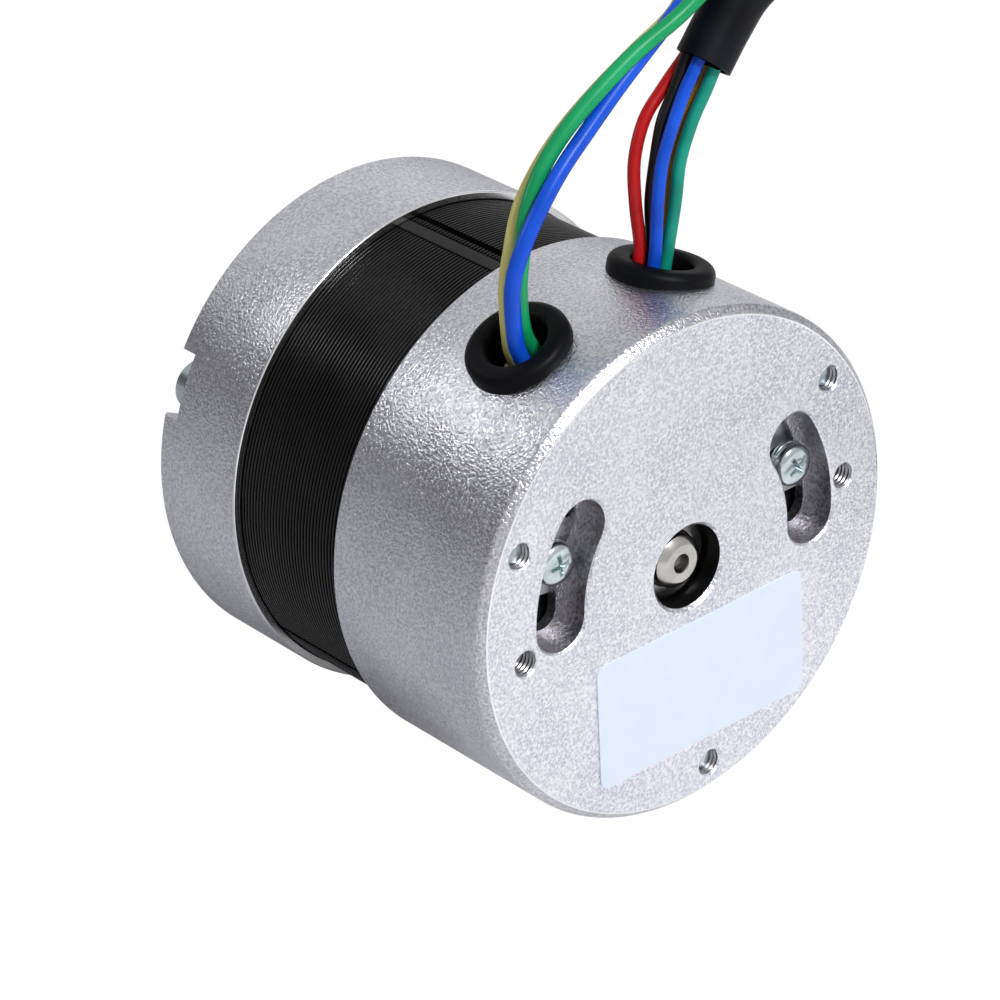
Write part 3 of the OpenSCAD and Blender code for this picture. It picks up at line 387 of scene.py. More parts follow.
def cut(obj, tools, operation="DIFFERENCE"):
    """Cuts a piece with tool pieces, or joins them, and removes the tools."""
    for tool in tools:
        step = obj.modifiers.new("cut", "BOOLEAN")
        step.operation = operation
        step.solver = "MANIFOLD"
        step.object = tool
    settle(obj)
    for tool in tools:
        bpy.data.objects.remove(tool)


def break_edges(obj, width, limit=35, segments=3):
    bevel = obj.modifiers.new("edges", "BEVEL")
    bevel.width = width
    bevel.segments = segments
    bevel.limit_method = "ANGLE"
    bevel.angle_limit = math.radians(limit)
    bevel.use_clamp_overlap = True
    bevel.miter_outer = "MITER_ARC"
    settle(obj)


def finish_piece(obj, material, body, slot, *replaced, smooth=16):
    """Turns a piece to metres, smooths it, and gives it its material, body and stood-for nodes."""
    mesh = obj.data
    mesh.transform(Matrix.Scale(MM, 4))
    mesh.shade_smooth()
    mesh.set_sharp_from_angle(angle=math.radians(smooth))
    flat_edges(mesh)
    mesh.materials.clear()
    for one in (material if isinstance(material, list) else [material]):
        mesh.materials.append(one)
    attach(obj, body)
    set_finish(obj, slot)
    if replaced:
        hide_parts(*replaced)
    print(obj.name, len(mesh.polygons), "faces")


def flat_edges(mesh):
    """Keeps end faces flat: an edge with an end face on one side only is drawn sharp."""
    bm = bmesh.new()
    bm.from_mesh(mesh)
    for edge in bm.edges:
        flat = [abs(face.normal.y) > 0.99995 for face in edge.link_faces]
        if len(flat) == 2 and flat[0] != flat[1]:
            edge.smooth = False
    bm.to_mesh(mesh)
    bm.free()


# %% [markdown]
# ## Materials
#
# Every finish starts from the real one: its name, how its surface was made and what that gives
# the eye. Colours are written as sRGB hex and turned to linear by one function. One helper adds
# a node with its settings and links.

# %% Node helper
def linear(code):
    """sRGB hex to a linear colour."""
    channels = [int(code[i:i + 2], 16) / 255 for i in (1, 3, 5)]
    return tuple(c / 12.92 if c <= 0.04045 else ((c + 0.055) / 1.055) ** 2.4 for c in channels) + (1,)


def feed(tree, node, inputs):
    """Gives a node its inputs: values, sockets or nodes, in order or by name."""
    for key, value in inputs.items() if isinstance(inputs, dict) else enumerate(inputs):
        if isinstance(value, bpy.types.Node):
            value = value.outputs[0]
        if isinstance(value, bpy.types.NodeSocket):
            tree.links.new(value, node.inputs[key])
        elif value is not None:
            node.inputs[key].default_value = value
    return node


def add(tree, kind, inputs=(), **settings):
    """Adds a node with its settings and inputs."""
    node = tree.nodes.new(kind)
    for name, value in settings.items():
        setattr(node, name, value)
    return feed(tree, node, inputs)


def math_node(tree, operation, *values):
    return add(tree, "ShaderNodeMath", values, operation=operation)


def new_material(name):
    """A material, its tree and its shader."""
    material = bpy.data.materials.new(name)
    material.use_nodes = True
    tree = material.node_tree
    return material, tree, tree.nodes["Principled BSDF"]


def object_place(tree):
    """The shaded point, in metres on the object."""
    return add(tree, "ShaderNodeTexCoord").outputs["Object"]


def noise(tree, place, size_mm, detail=3.0, roughness=0.5):
    """Noise with features of this size in millimetres, on coordinates in metres."""
    return add(tree, "ShaderNodeTexNoise", {"Vector": place, "Scale": 1000 / size_mm, "Detail": detail,
                                            "Roughness": roughness})


def spread(tree, value, low, high, least=0.3, most=0.7):
    """Maps a value, such as the usual range of a noise, to the range from low to high."""
    return add(tree, "ShaderNodeMapRange", {"Value": value, "From Min": least, "From Max": most,
                                            "To Min": low, "To Max": high})


def bumps(tree, height, depth_mm, strength=1.0):
    return add(tree, "ShaderNodeBump", {"Height": height, "Strength": strength,
                                        "Distance": depth_mm * MM})


def round_shaft(tree, place):
    """Distance from the shaft's axis, and the place along it."""
    apart = add(tree, "ShaderNodeSeparateXYZ", [place])
    flat = add(tree, "ShaderNodeCombineXYZ", [apart.outputs["X"], 0.0, apart.outputs["Z"]])
    length = add(tree, "ShaderNodeVectorMath", [flat], operation="LENGTH")
    return length.outputs["Value"], apart.outputs["Y"]


def ramp(tree, fac, stops):
    """A colour ramp with (position, hex or grey) stops."""
    node = add(tree, "ShaderNodeValToRGB", {"Fac": fac})
    elements = node.color_ramp.elements
    while len(elements) < len(stops):
        elements.new(0.5)
    for element, (position, value) in zip(elements, stops):
        element.position = position
        element.color = linear(value) if isinstance(value, str) else (value, value, value, 1)
    return node


# %% [markdown]
# ### Blasted cast aluminium
#
# The end caps are die castings that were blasted with grit. Blasting leaves a skin of shallow
# pits about a third of a millimetre wide, which glitter where a lamp is mirrored and blur it
# elsewhere. The pits are a bump, on a satin metal.

# %% Cast aluminium
GRAIN_MM, GRAIN_DEPTH_MM = 0.32, 0.13


def cast_aluminium(name, light, dark, rough, grain_mm=GRAIN_MM, depth_mm=GRAIN_DEPTH_MM):
    """A metal with a skin of fine pits and a slow change of shade and gloss."""
    material, tree, shader = new_material(name)
    place = object_place(tree)
    grain = noise(tree, place, grain_mm, detail=2.0, roughness=0.55)
    cloud = noise(tree, place, 9)
    mixed = math_node(tree, "MULTIPLY_ADD", cloud, 0.2, math_node(tree, "MULTIPLY", grain, 0.8))
    feed(tree, shader, {
        "Base Color": ramp(tree, mixed, [(0.38, dark), (0.62, light)]), "Metallic": 1.0,
        "Roughness": spread(tree, cloud, rough - 0.03, rough + 0.04),
        "Normal": bumps(tree, grain, depth_mm)})
    return material


blasted = cast_aluminium("blasted_cast_aluminium", "#FBFCFF", "#CDCEDB", 0.27)
# A darker copy of the blasted skin, a painted shade that tones down the highlight on the rim bevel and on the
# slot ledges.
bevel_painted_shade = cast_aluminium("blasted_turned_bevel_painted_shade", "#E2E2E6", "#B4B4BE", 0.27)
# A darker copy again, a painted shade for the walls of the slots and holes.
painted_shade_walls = cast_aluminium("cast_walls_painted_shade", "#B2AFB3", "#7A777B", 0.4, 0.35, 0.09)

# %% [markdown]
# ### Black varnished sheets
#
# The stack is punched from half-millimetre electrical steel and dipped in black varnish. Varnish
# is a thin glossy plastic film, so the finish is a black plastic and not a metal. It shines on the
# crest of each sheet only: its gloss fades to nothing towards the gaps between the sheets and in
# the grooves, a painted shade for these dark gaps.

# %% Varnish
varnish, tree, shader = new_material("black_varnished_sheets")
place = object_place(tree)
runs = noise(tree, place, 4)
radius, _ = round_shaft(tree, place)
feed(tree, shader, {
    "Base Color": ramp(tree, runs, [(0.35, "#050506"), (0.7, "#0E0D0F")]),
    "Roughness": spread(tree, runs, 0.2, 0.3),
    # gloss fades from the crest of each sheet to nothing in the gaps: painted shade
    "Specular IOR Level": spread(tree, radius, 0.0, 0.5, least=(STACK_RADIUS - 0.09) * MM,
                                 most=(STACK_RADIUS - 0.005) * MM)})

# %% Weld strip
weld_strip, tree, shader = new_material("varnished_weld_strip")
runs = noise(tree, object_place(tree), 1.2, detail=4.0)
feed(tree, shader, {
    "Base Color": ramp(tree, runs, [(0.35, "#101012"), (0.7, "#1A191B")]), "Roughness": 0.5,
    "Specular IOR Level": 0.35, "Normal": bumps(tree, runs, 0.03, strength=0.4)})

# %% [markdown]
# ### Rubber, lead insulation and film
#
# Rubber grommets are moulded: smooth, black and only dully glossy. Lead insulation is extruded
# vinyl, which is a little glossier, and its colour varies by a shade.

# %% Rubber and vinyl
def moulded(name, light, dark, rough, grain_mm=0.35, depth_mm=0.006, specular=0.5):
    """A plastic or rubber with a fine, shallow surface texture."""
    material, tree, shader = new_material(name)
    place = object_place(tree)
    shade = noise(tree, place, 5)
    feed(tree, shader, {
        "Base Color": ramp(tree, shade, [(0.3, dark), (0.7, light)]), "Specular IOR Level": specular,
        "Roughness": spread(tree, shade, rough - 0.04, rough + 0.05),
        "Normal": bumps(tree, noise(tree, place, grain_mm, detail=2.0), depth_mm)})
    return material


grommet_rubber = moulded("moulded_black_rubber", "#0A0B0F", "#050609", 0.45, 0.5, 0.01, 0.1)
sleeve_vinyl = moulded("black_heat_shrink", "#0F1118", "#090A0F", 0.4, 0.6, 0.01, 0.14)
seal_rubber = moulded("bearing_seal_rubber", "#060607", "#030304", 0.35, specular=0.3)
VINYL_COLOURS = {
    "yellow": ("#DCD684", "#CCC674"), "green": ("#12A566", "#0B8F55"), "blue": ("#0E58E0", "#0846C0"),
    "red": ("#D01A1E", "#A90F12"), "black": ("#1A1A1C", "#101011"), "ochre": ("#B98A25", "#94691A"),
    "teal": ("#16A088", "#0D8570")}
vinyl = {"lead_" + name: moulded(name + "_vinyl", light, dark, 0.33, specular=0.25)
         for name, (light, dark) in VINYL_COLOURS.items()}

# %% [markdown]
# ### Steel, zinc and the parts inside
#
# Ground steel carries fine rings from the lathe or grinder. Zinc plating is bright with a cold
# blue cast. The parts inside get the plain finish of their material: copper under enamel, nylon,
# green solder mask and nickel.

# %% Steel and zinc
def ground_metal(name, light, dark, rough, ring_mm, depth_mm):
    """A metal with fine rings round the shaft, as turning and grinding leave them."""
    material, tree, shader = new_material(name)
    place = object_place(tree)
    line = add(tree, "ShaderNodeCombineXYZ", [*round_shaft(tree, place), 0.0])
    feed(tree, shader, {
        "Base Color": ramp(tree, noise(tree, place, 2), [(0.3, dark), (0.7, light)]), "Metallic": 1.0,
        "Roughness": rough, "Normal": bumps(tree, noise(tree, line, ring_mm, detail=2.0), depth_mm)})
    return material


ground_steel = ground_metal("ground_steel", "#CFCDC9", "#B9B6B1", 0.22, 0.12, 0.002)
# Darker than the casting: a painted shade for the threads deep in the holes.
shaded_thread_metal = ground_metal("cut_aluminium_thread_painted_shade", "#B2B2B6", "#86868A", 0.34, 0.3, 0.003)
turned_rim = ground_metal("turned_aluminium_rim", "#FFFFFF", "#F2F2F5", 0.2, 0.2, 0.001)
race_steel = ground_metal("bearing_steel", "#8F8E8D", "#737271", 0.22, 0.1, 0.001)
zinc = ground_metal("zinc_plated_steel", "#DDE6E8", "#B7C6CA", 0.2, 0.4, 0.002)
# Brighter than the zinc of the screws: painted light, so the plates deep in the slots look pale.
pale_zinc_painted_light = ground_metal("dull_zinc_plate_painted_light", "#F4F6F9", "#E2E6EC", 0.5, 0.4, 0.004)
nickel = ground_metal("nickel_plated_magnet", "#B3B1AB", "#8E8C86", 0.3, 0.5, 0.002)
core_steel = moulded("varnished_core_ends", "#1B1B1D", "#0E0E10", 0.4, 0.3, 0.01)
nylon = moulded("white_nylon", "#DEDACD", "#CFCBBD", 0.45)
carrier_plastic = moulded("black_glass_filled_nylon", "#1D1D20", "#131315", 0.5)
solder_mask = moulded("green_solder_mask", "#0F5C33", "#0B4A28", 0.3)
sensor_epoxy = moulded("black_epoxy", "#161617", "#0E0E0F", 0.45)
enamelled_copper = ground_metal("enamelled_copper", "#B4673B", "#8E4A26", 0.3, 0.6, 0.06)

# %% Label film
label_film = moulded("white_label_film", "#E4EDF9", "#DFE9F6", 0.38, 1.5, 0.004)
print(len(bpy.data.materials), "materials")

# %% Cord materials
for name, (cord, path, diameter) in cords.items():
    cord.data.materials.append(vinyl[cord["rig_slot"]])

# %% [markdown]
# ## Sleeve
#
# The five sensor leads run into a black sleeve. Its mouth is open, so it is a tube with a wall,
# swept along its route, and the leads run on a little way inside.

# %% Sleeve
def swept_tube(name, path, radius, wall, mouth, sides=32):
    """Tube along a path, hollow for the length of its mouth at the start."""
    bm = bmesh.new()
    side = Vector((0, 1, 0))
    frames = []
    for i, place in enumerate(path):
        along = (path[min(i + 1, len(path) - 1)] - path[max(i - 1, 0)]).normalized()
        side = (side - side.dot(along) * along).normalized()
        frames.append((place, side.copy(), along.cross(side)))

    def loop(index, r):
        place, across, up = frames[index]
        turns = [2 * math.pi * k / sides for k in range(sides)]
        return [bm.verts.new(place + r * (math.cos(turn) * across + math.sin(turn) * up))
                for turn in turns]

    inside = [i for i in range(len(path)) if length_of(path[:i + 1]) < mouth]
    rings = ([loop(i, radius - wall) for i in reversed(inside)]
             + [loop(i, radius) for i in range(len(path))])
    for a, b in zip(rings, rings[1:]):
        join_rings(bm, a, b)
    bm.faces.new(rings[0])
    bm.faces.new(rings[-1])
    return mesh_object(name, bm)


sleeve_path = smooth_route(sleeve_route, 1.2)
sleeve = swept_tube("sleeve_tube", sleeve_path, SLEEVE_DIAMETER / 2, wall=0.45, mouth=5)
finish_piece(sleeve, sleeve_vinyl, "housing", "rubber_black", "sensor_sleeve", smooth=50)

# %% [markdown]
# ## Rear end cap
#
# A turned casting: a cup with a thick wall, two curved slots with a ledge, five threaded holes and
# two holes for the leads.

# %% Rear end cap
BEVEL_Y, RIM_RADIUS = 53.1, 27.6
BORE_RADIUS, BORE_END = 4.7, 51.3
BEARING_SEAT_RADIUS = 7.5
REAR_PROFILE = [
    (CAP_SEAT_RADIUS, REAR_CAP_START, 0.15), (CAP_RADIUS, REAR_CAP_START, 0.2), (CAP_RADIUS, BEVEL_Y, 0.7),
    (RIM_RADIUS, REAR_FACE, 0.25), (5.05, REAR_FACE, 0), (BORE_RADIUS, 53.65, 0),
    (BORE_RADIUS, BORE_END, 0), (BEARING_SEAT_RADIUS, BORE_END, 0), (BEARING_SEAT_RADIUS, 45.8, 0.2),
    (10, 45.8, 0.3), (10, 49.6, 0.4), (CAP_INSIDE_RADIUS, 49.6, 0.8), (CAP_INSIDE_RADIUS, STACK_REAR, 0),
    (CAP_SEAT_RADIUS, STACK_REAR, 0)]
rear_cap = turned("rear_cap", rounded(REAR_PROFILE), turns=288)


def slot_outline(middle, half, width, count=40, end_count=18):
    """Curved slot with round ends, as (x, z) points."""
    outline = []
    for radius, way in ((SLOT_RADIUS + width / 2, 1), (SLOT_RADIUS - width / 2, -1)):
        for i in range(count + 1):
            p = around(middle + way * half * (2 * i / count - 1), radius)
            outline.append((p.x, p.z))
        centre = around(middle + way * half, SLOT_RADIUS)
        for i in range(1, end_count):
            turn = math.radians(middle + way * half + (0 if way > 0 else 180) + 180 * i / end_count)
            outline.append((centre.x + width / 2 * math.cos(turn), centre.z + width / 2 * math.sin(turn)))
    return outline


SLOT_ANGLES = (23.7, 171.3)
SCREW_ANGLES = (26.3, 169.5)
SLOT_HALF_ANGLE = 16.6
SLOT_WIDTH, SLOT_RIM_WIDTH, SLOT_CHAMFER_WIDTH, THROAT_WIDTH = 6.5, 6.46, 7.0, 3.9
HOLE_RADIUS, HOLE_RIM_RADIUS, HOLE_CHAMFER_RADIUS = 1.38, 1.36, 1.6
SLOT_CHAMFER_Y, HOLE_CHAMFER_Y, ABOVE_FACE = 53.74, 53.8, 54.02
tools = []
for middle in SLOT_ANGLES:
    slot, slot_rim, chamfer, throat = (
        slot_outline(middle, SLOT_HALF_ANGLE, width)
        for width in (SLOT_WIDTH, SLOT_RIM_WIDTH, SLOT_CHAMFER_WIDTH, THROAT_WIDTH))
    tools.append(prism("slot", slot, LEDGE_Y, 56))
    tools.append(prism("slot_rim", slot_rim, SLOT_CHAMFER_Y, ABOVE_FACE, flared=chamfer))
    tools.append(prism("throat", throat, 48, 52))
hole_places = ([around(a, BOLT_RADIUS) for a in BOLT_ANGLES]
               + [around(a, TAPPED_RADIUS) for a in TAPPED_ANGLES])
for place in hole_places:
    tools.append(prism("hole", circle(place, HOLE_RADIUS), 46, 56))
    tools.append(prism("hole_rim", circle(place, HOLE_RIM_RADIUS), HOLE_CHAMFER_Y, ABOVE_FACE,
                       flared=circle(place, HOLE_CHAMFER_RADIUS)))
for angle in (PHASE_HOLE, SENSOR_HOLE):
    hole = turned("lead_hole", [(0, 20), (LEAD_HOLE_RADIUS, 20), (LEAD_HOLE_RADIUS, 32), (0, 32)], 48,
                  closed=False)
    hole.data.transform(Matrix.Translation((0, LEAD_HOLE_Y, 0))
                        @ Matrix.Rotation(-math.radians(angle), 4, "Y")
                        @ Matrix.Rotation(math.radians(-90), 4, "Z"))
    tools.append(hole)
cut(rear_cap, tools)
break_edges(rear_cap, 0.1)
# The darker copies of the blasted skin on walls, ledges and bevel, and the black seal rubber in the bore, are
# painted shade.
finish_piece(rear_cap, [blasted, painted_shade_walls, seal_rubber, turned_rim, bevel_painted_shade], "housing", "cast",
             "rear_end_cap")


RIM_INSIDE, RIM_OUTSIDE = 27.49, 27.69
NEAR_SLOT, NEAR_HOLE, NEAR_BORE = 3.4, 1.45, 4.8


def rear_finish(centre, normal):
    """Number of the finish of a face: blasted, cast wall in painted shade, bore painted black as shade, bare
    rim, or bevel in painted shade.
    """
    out = math.hypot(centre.x, centre.z)
    from_slot = abs(out - SLOT_RADIUS)
    if centre.y > 53.8 and RIM_INSIDE < out < RIM_OUTSIDE:
        return 3
    # rim bevel and slot ledges take the darker copy, a painted shade
    if (centre.y > BEVEL_Y and out > RIM_OUTSIDE) or (50.5 < centre.y < 51 and from_slot < NEAR_SLOT):
        return 4
    # the aluminium wall of the bore above the bearing takes the black seal rubber: painted shade in the deep,
    # narrow bore
    if out < NEAR_BORE and 51.2 < centre.y < 53.6:
        return 2
    # walls of slots and holes take the darker skin, a painted shade
    in_slot = from_slot < NEAR_SLOT and 49.7 < centre.y < 53.72 and abs(normal.y) < 0.9
    from_hole = min(math.hypot(centre.x - p.x, centre.z - p.z) for p in hole_places)
    return 1 if in_slot or (from_hole < NEAR_HOLE and centre.y < 53.78) else 0


for face in rear_cap.data.polygons:
    face.material_index = rear_finish(face.center / MM, face.normal)

# %% [markdown]
# ## Front end cap
#
# The same kind of casting from the other side, with three notches for the bolt heads.

# %% Front end cap
NOTCH_RADIUS = 3.75
FRONT_PROFILE = [
    (7, -2, 0.2), (12.5, -2, 0.3), (12.5, 0, 0), (27.4, 0, 0.35), (FRONT_CAP_RADIUS, 0.9, 0.35),
    (FRONT_CAP_RADIUS, FRONT_CAP_END, 0.2), (CAP_SEAT_RADIUS, FRONT_CAP_END, 0.15),
    (CAP_SEAT_RADIUS, STACK_FRONT, 0), (CAP_INSIDE_RADIUS, STACK_FRONT, 0), (CAP_INSIDE_RADIUS, 4.5, 0.8),
    (13.5, 4.5, 0.4), (13.5, 10, 0.3), (11, 10, 0.2), (11, 2, 0), (7, 2, 0)]
FRONT_RIM_WIDTH = 0.22
front_cap = turned("front_cap", rounded(FRONT_PROFILE), turns=288)
tools = []
for angle in BOLT_ANGLES:
    centre = around(angle, BOLT_RADIUS)
    outline = []
    for i in range(25):
        turn = math.radians(angle + 90 + 180 * i / 24)
        outline.append((centre.x + NOTCH_RADIUS * math.cos(turn), centre.z + NOTCH_RADIUS * math.sin(turn)))
    for side in (-1, 1):
        far = around(angle, BOLT_RADIUS + 8) + around(angle + 90, NOTCH_RADIUS * side)
        outline.append((far.x, far.z))
    tools.append(prism("notch", outline, -3, 3))
    tools.append(prism("bolt_hole", circle(centre, CLEARANCE_RADIUS), 1, 8))
for angle in MOUNT_ANGLES:
    tools.append(prism("mount_hole", circle(around(angle, MOUNT_RADIUS), CLEARANCE_RADIUS), -3, 6))
cut(front_cap, tools)
break_edges(front_cap, 0.16)
finish_piece(front_cap, [blasted, turned_rim], "housing", "cast", "front_end_cap")
for face in front_cap.data.polygons:
    if face.center.y > (FRONT_CAP_END - FRONT_RIM_WIDTH) * MM:
        face.material_index = 1

# %% [markdown]
# ## Lamination stack
#
# Forty-two sheets follow one rule, so this main piece is made by Geometry Nodes: a grid is rolled
# round the shaft, and each point is pulled in where two sheets meet, along three locating
# grooves and under the three weld strips.

# %% Tree helpers
def new_tree(name, sockets):
    """A Geometry Nodes tree with its named inputs, and the sockets that give them."""
    tree = bpy.data.node_groups.new(name, "GeometryNodeTree")
    for label, kind, value in sockets:
        socket = tree.interface.new_socket(label, in_out="INPUT", socket_type="NodeSocket" + kind)
        if value is not None:
            socket.default_value = value
    tree.interface.new_socket("Geometry", in_out="OUTPUT", socket_type="NodeSocketGeometry")
    return tree, add(tree, "NodeGroupInput").outputs


def end_tree(tree, geometry, finish):
    """Makes the instances real, gives them their finish and ends the tree."""
    real = add(tree, "GeometryNodeRealizeInstances", {"Geometry": geometry})
    painted = add(tree, "GeometryNodeSetMaterial", {"Geometry": real, "Material": finish})
    add(tree, "NodeGroupOutput", [painted])


def grown(name, tree, places=(), **values):
    """Makes a piece from a tree and a few points, with its inputs set by their identifiers."""
    mesh = bpy.data.meshes.new(name)
    mesh.from_pydata([tuple(p) for p in places], [], [])
    obj = bpy.data.objects.new(name, mesh)
    bpy.context.scene.collection.objects.link(obj)
    modifier = obj.modifiers.new("tree", "NODES")
    modifier.node_group = tree
    for item in tree.interface.items_tree:
        if item.item_type == "SOCKET" and item.in_out == "INPUT" and item.name in values:
            modifier[item.identifier] = values[item.name]
    return settle(obj)


# %% Stack tree
stack_tree, given = new_tree("rolled_sheets", [
    ("Radius", "Float", STACK_RADIUS), ("Front", "Float", STACK_FRONT), ("Pitch", "Float", SHEET_PITCH),
    ("Sheets", "Int", SHEETS), ("Edge Depth", "Float", 0.2), ("Groove Angle", "Float", 93.3),
    ("Groove Depth", "Float", 0.5), ("Groove Half Width", "Float", 0.8),
    ("Strip Angle", "Float", STRIP_ANGLES[0]), ("Strip Half Width", "Float", 1.8),
    ("Finish", "Material", None)])
STRIP_DEPTH = 0.12
ROWS_PER_SHEET = 6
AROUND = 360


def maths(operation, *values):
    return math_node(stack_tree, operation, *values)


rows = maths("MULTIPLY_ADD", given["Sheets"], ROWS_PER_SHEET, 1.0)
grid = add(stack_tree, "GeometryNodeMeshGrid", {"Size X": 1.0, "Size Y": 1.0, "Vertices X": AROUND + 1,
                                                "Vertices Y": rows})
spot = add(stack_tree, "ShaderNodeSeparateXYZ", [add(stack_tree, "GeometryNodeInputPosition")])
turn_part = maths("ADD", spot.outputs["X"], 0.5)
long_part = maths("ADD", spot.outputs["Y"], 0.5)
degrees = maths("MULTIPLY_ADD", turn_part, 360.0, given["Groove Angle"])
sheet = maths("FRACT", maths("MULTIPLY", long_part, given["Sheets"]))
off_centre = maths("ABSOLUTE", maths("MULTIPLY_ADD", sheet, 2.0, -1.0))
edge = maths("MULTIPLY", maths("POWER", off_centre, 2.2), given["Edge Depth"])


def distance_from(angle):
    """Angle between a point and the nearest of three lines 120 degrees apart."""
    turned_on = maths("ADD", maths("SUBTRACT", degrees, angle), 60.0 + 360.0)
    return maths("ABSOLUTE", maths("SUBTRACT", maths("MODULO", turned_on, 120.0), 60.0))


in_groove = spread(stack_tree, distance_from(given["Groove Angle"]), given["Groove Depth"], 0.0,
                   least=0.0, most=given["Groove Half Width"])
on_strip = maths("LESS_THAN", distance_from(given["Strip Angle"]), given["Strip Half Width"])
in_strip = maths("MULTIPLY", on_strip, STRIP_DEPTH)
radius = maths("SUBTRACT", given["Radius"], edge)
radius = maths("SUBTRACT", maths("SUBTRACT", radius, in_groove), in_strip)
radians = maths("RADIANS", degrees)
length = maths("MULTIPLY", given["Pitch"], given["Sheets"])
place = add(stack_tree, "ShaderNodeCombineXYZ",
            [maths("MULTIPLY", radius, maths("COSINE", radians)),
             maths("MULTIPLY_ADD", long_part, length, given["Front"]),
             maths("MULTIPLY", radius, maths("SINE", radians))])
rolled = add(stack_tree, "GeometryNodeSetPosition", {"Geometry": grid.outputs["Mesh"], "Position": place})
joined = add(stack_tree, "GeometryNodeMergeByDistance", {"Geometry": rolled, "Distance": 0.001})
end_tree(stack_tree, joined, given["Finish"])

# %% Sheet edges
stack = grown("sheet_edges", stack_tree, Finish=varnish)
bm = bmesh.new()
bm.from_mesh(stack.data)
SKIN_INNER = 26.6
rims = [e for e in bm.edges if e.is_boundary]
inner = bmesh.ops.extrude_edge_only(bm, edges=rims)["geom"]
for vert in {v for v in inner if isinstance(v, bmesh.types.BMVert)}:
    flat = Vector((vert.co.x, 0, vert.co.z)).normalized() * SKIN_INNER
    vert.co.x, vert.co.z = flat.x, flat.z
bmesh.ops.bridge_loops(bm, edges=[e for e in bm.edges if e.is_boundary])
bmesh.ops.recalc_face_normals(bm, faces=bm.faces)
bm.to_mesh(stack.data)
bm.free()
finish_piece(stack, varnish, "housing", "laminations", smooth=40)

# %% Teeth behind the sheet edges
def merged_copy(node, name):
    """A joined-up copy of a solid from the model, in millimetres."""
    mesh = nodes[node].data.copy()
    mesh.materials.clear()
    mesh.transform(Matrix.Scale(1 / MM, 4))
    bm = bmesh.new()
    bm.from_mesh(mesh)
    for layer in list(bm.loops.layers.uv.values()):
        bm.loops.layers.uv.remove(layer)
    bpy.data.meshes.remove(mesh)
    return mesh_object(name, bm)


teeth = merged_copy("stator_core", "core_teeth")
keep = turned("keep", [(10, 0), (26.7, 0), (26.7, 60), (10, 60)], 192)
cut(teeth, [keep], "INTERSECT")
finish_piece(teeth, core_steel, "housing", "laminations", "stator_core", smooth=30)

# %% Weld strips
# (angle, radius) across the top of a strip
STRIP_TOP = ((1.68, 27.22), (1.55, 27.3), (0.8, 27.31), (0, 27.31), (-0.8, 27.31), (-1.55, 27.3),
             (-1.68, 27.22))
strips = bmesh.new()
for middle in STRIP_ANGLES:
    front, rear = (
        [strips.verts.new(around(middle + a, r, y)) for a, r in ((-1.68, 26.7), (1.68, 26.7), *STRIP_TOP)]
        for y in (STACK_FRONT, STACK_REAR))
    join_rings(strips, front, rear)
    strips.faces.new(front)
    strips.faces.new(rear)
finish_piece(mesh_object("weld_strips", strips), weld_strip, "housing", "laminations", "core_cleats")

# %% [markdown]
# ## Grommets
#
# A grommet is a soft ring with a round lip. Its underside follows the curve of the cap, so the
# ring of points at height 0 is dropped on the cylinder.

# %% Grommets
LIP = rounded([(3.3, 1.5, 0.75), (5.7, 1.5, 1.05), (5.7, 0, 0), (4.4, -0.6, 0), (4.4, -3.2, 0),
               (3.3, -3.2, 0)], 8)


def grommet(name, angle, turns=96):
    """A ring with a lip, in the lead hole at an angle."""
    bm = bmesh.new()
    rings = []
    for radius, height in LIP:
        ring = []
        for i in range(turns):
            turn = 2 * math.pi * i / turns
            sideways, along = radius * math.cos(turn), radius * math.sin(turn)
            lift = CAP_RADIUS + height
            if abs(height) < 1e-6:
                lift = math.sqrt(CAP_RADIUS ** 2 - sideways ** 2) - 0.05
            ring.append(bm.verts.new(in_hole(angle, lift, sideways, along)))
        rings.append(ring)
    for a, b in zip(rings, rings[1:] + rings[:1]):
        join_rings(bm, a, b)
    return mesh_object(name, bm)


finish_piece(grommet("phase_grommet_lip", PHASE_HOLE), grommet_rubber, "housing", "rubber_black",
             "phase_grommet", smooth=50)
finish_piece(grommet("sensor_grommet_lip", SENSOR_HOLE), grommet_rubber, "housing", "rubber_black",
             "sensor_grommet", smooth=50)

# %% [markdown]
# ## Shaft and rear bearing
#
# The shaft's end is turned, with a chamfer and a centre hole from the lathe. Around it lie the
# bearing's inner ring, its black seal and a sliver of the outer ring.

# %% Shaft
SHAFT_PROFILE = [
    (0, -20.0), (1.1, -21), (3.55, -21), (4, -20.55), (4, -2.6), (3.8, -2.6), (3.8, -2), (4, -2),
    (4, 9.5), (5, 9.5), (5, 44), (4, 44), (4, 46.3),
    (3, 46.3), (3, 52.1), (2.95, 52.22), (2.25, 52.84), (2.12, 52.9), (1.15, 52.9), (1.07, 52.84),
    (0.95, 52.3), (0.9, 50.6), (0, 49.9)]
shaft = turned("turned_shaft", SHAFT_PROFILE, 96, closed=False)
flat = prism("flat", [(3.5, -10), (12, -10), (12, 10), (3.5, 10)], -30, -6)
cut(shaft, [flat])
finish_piece(shaft, ground_steel, "rotor", "steel", "motor_shaft", smooth=25)

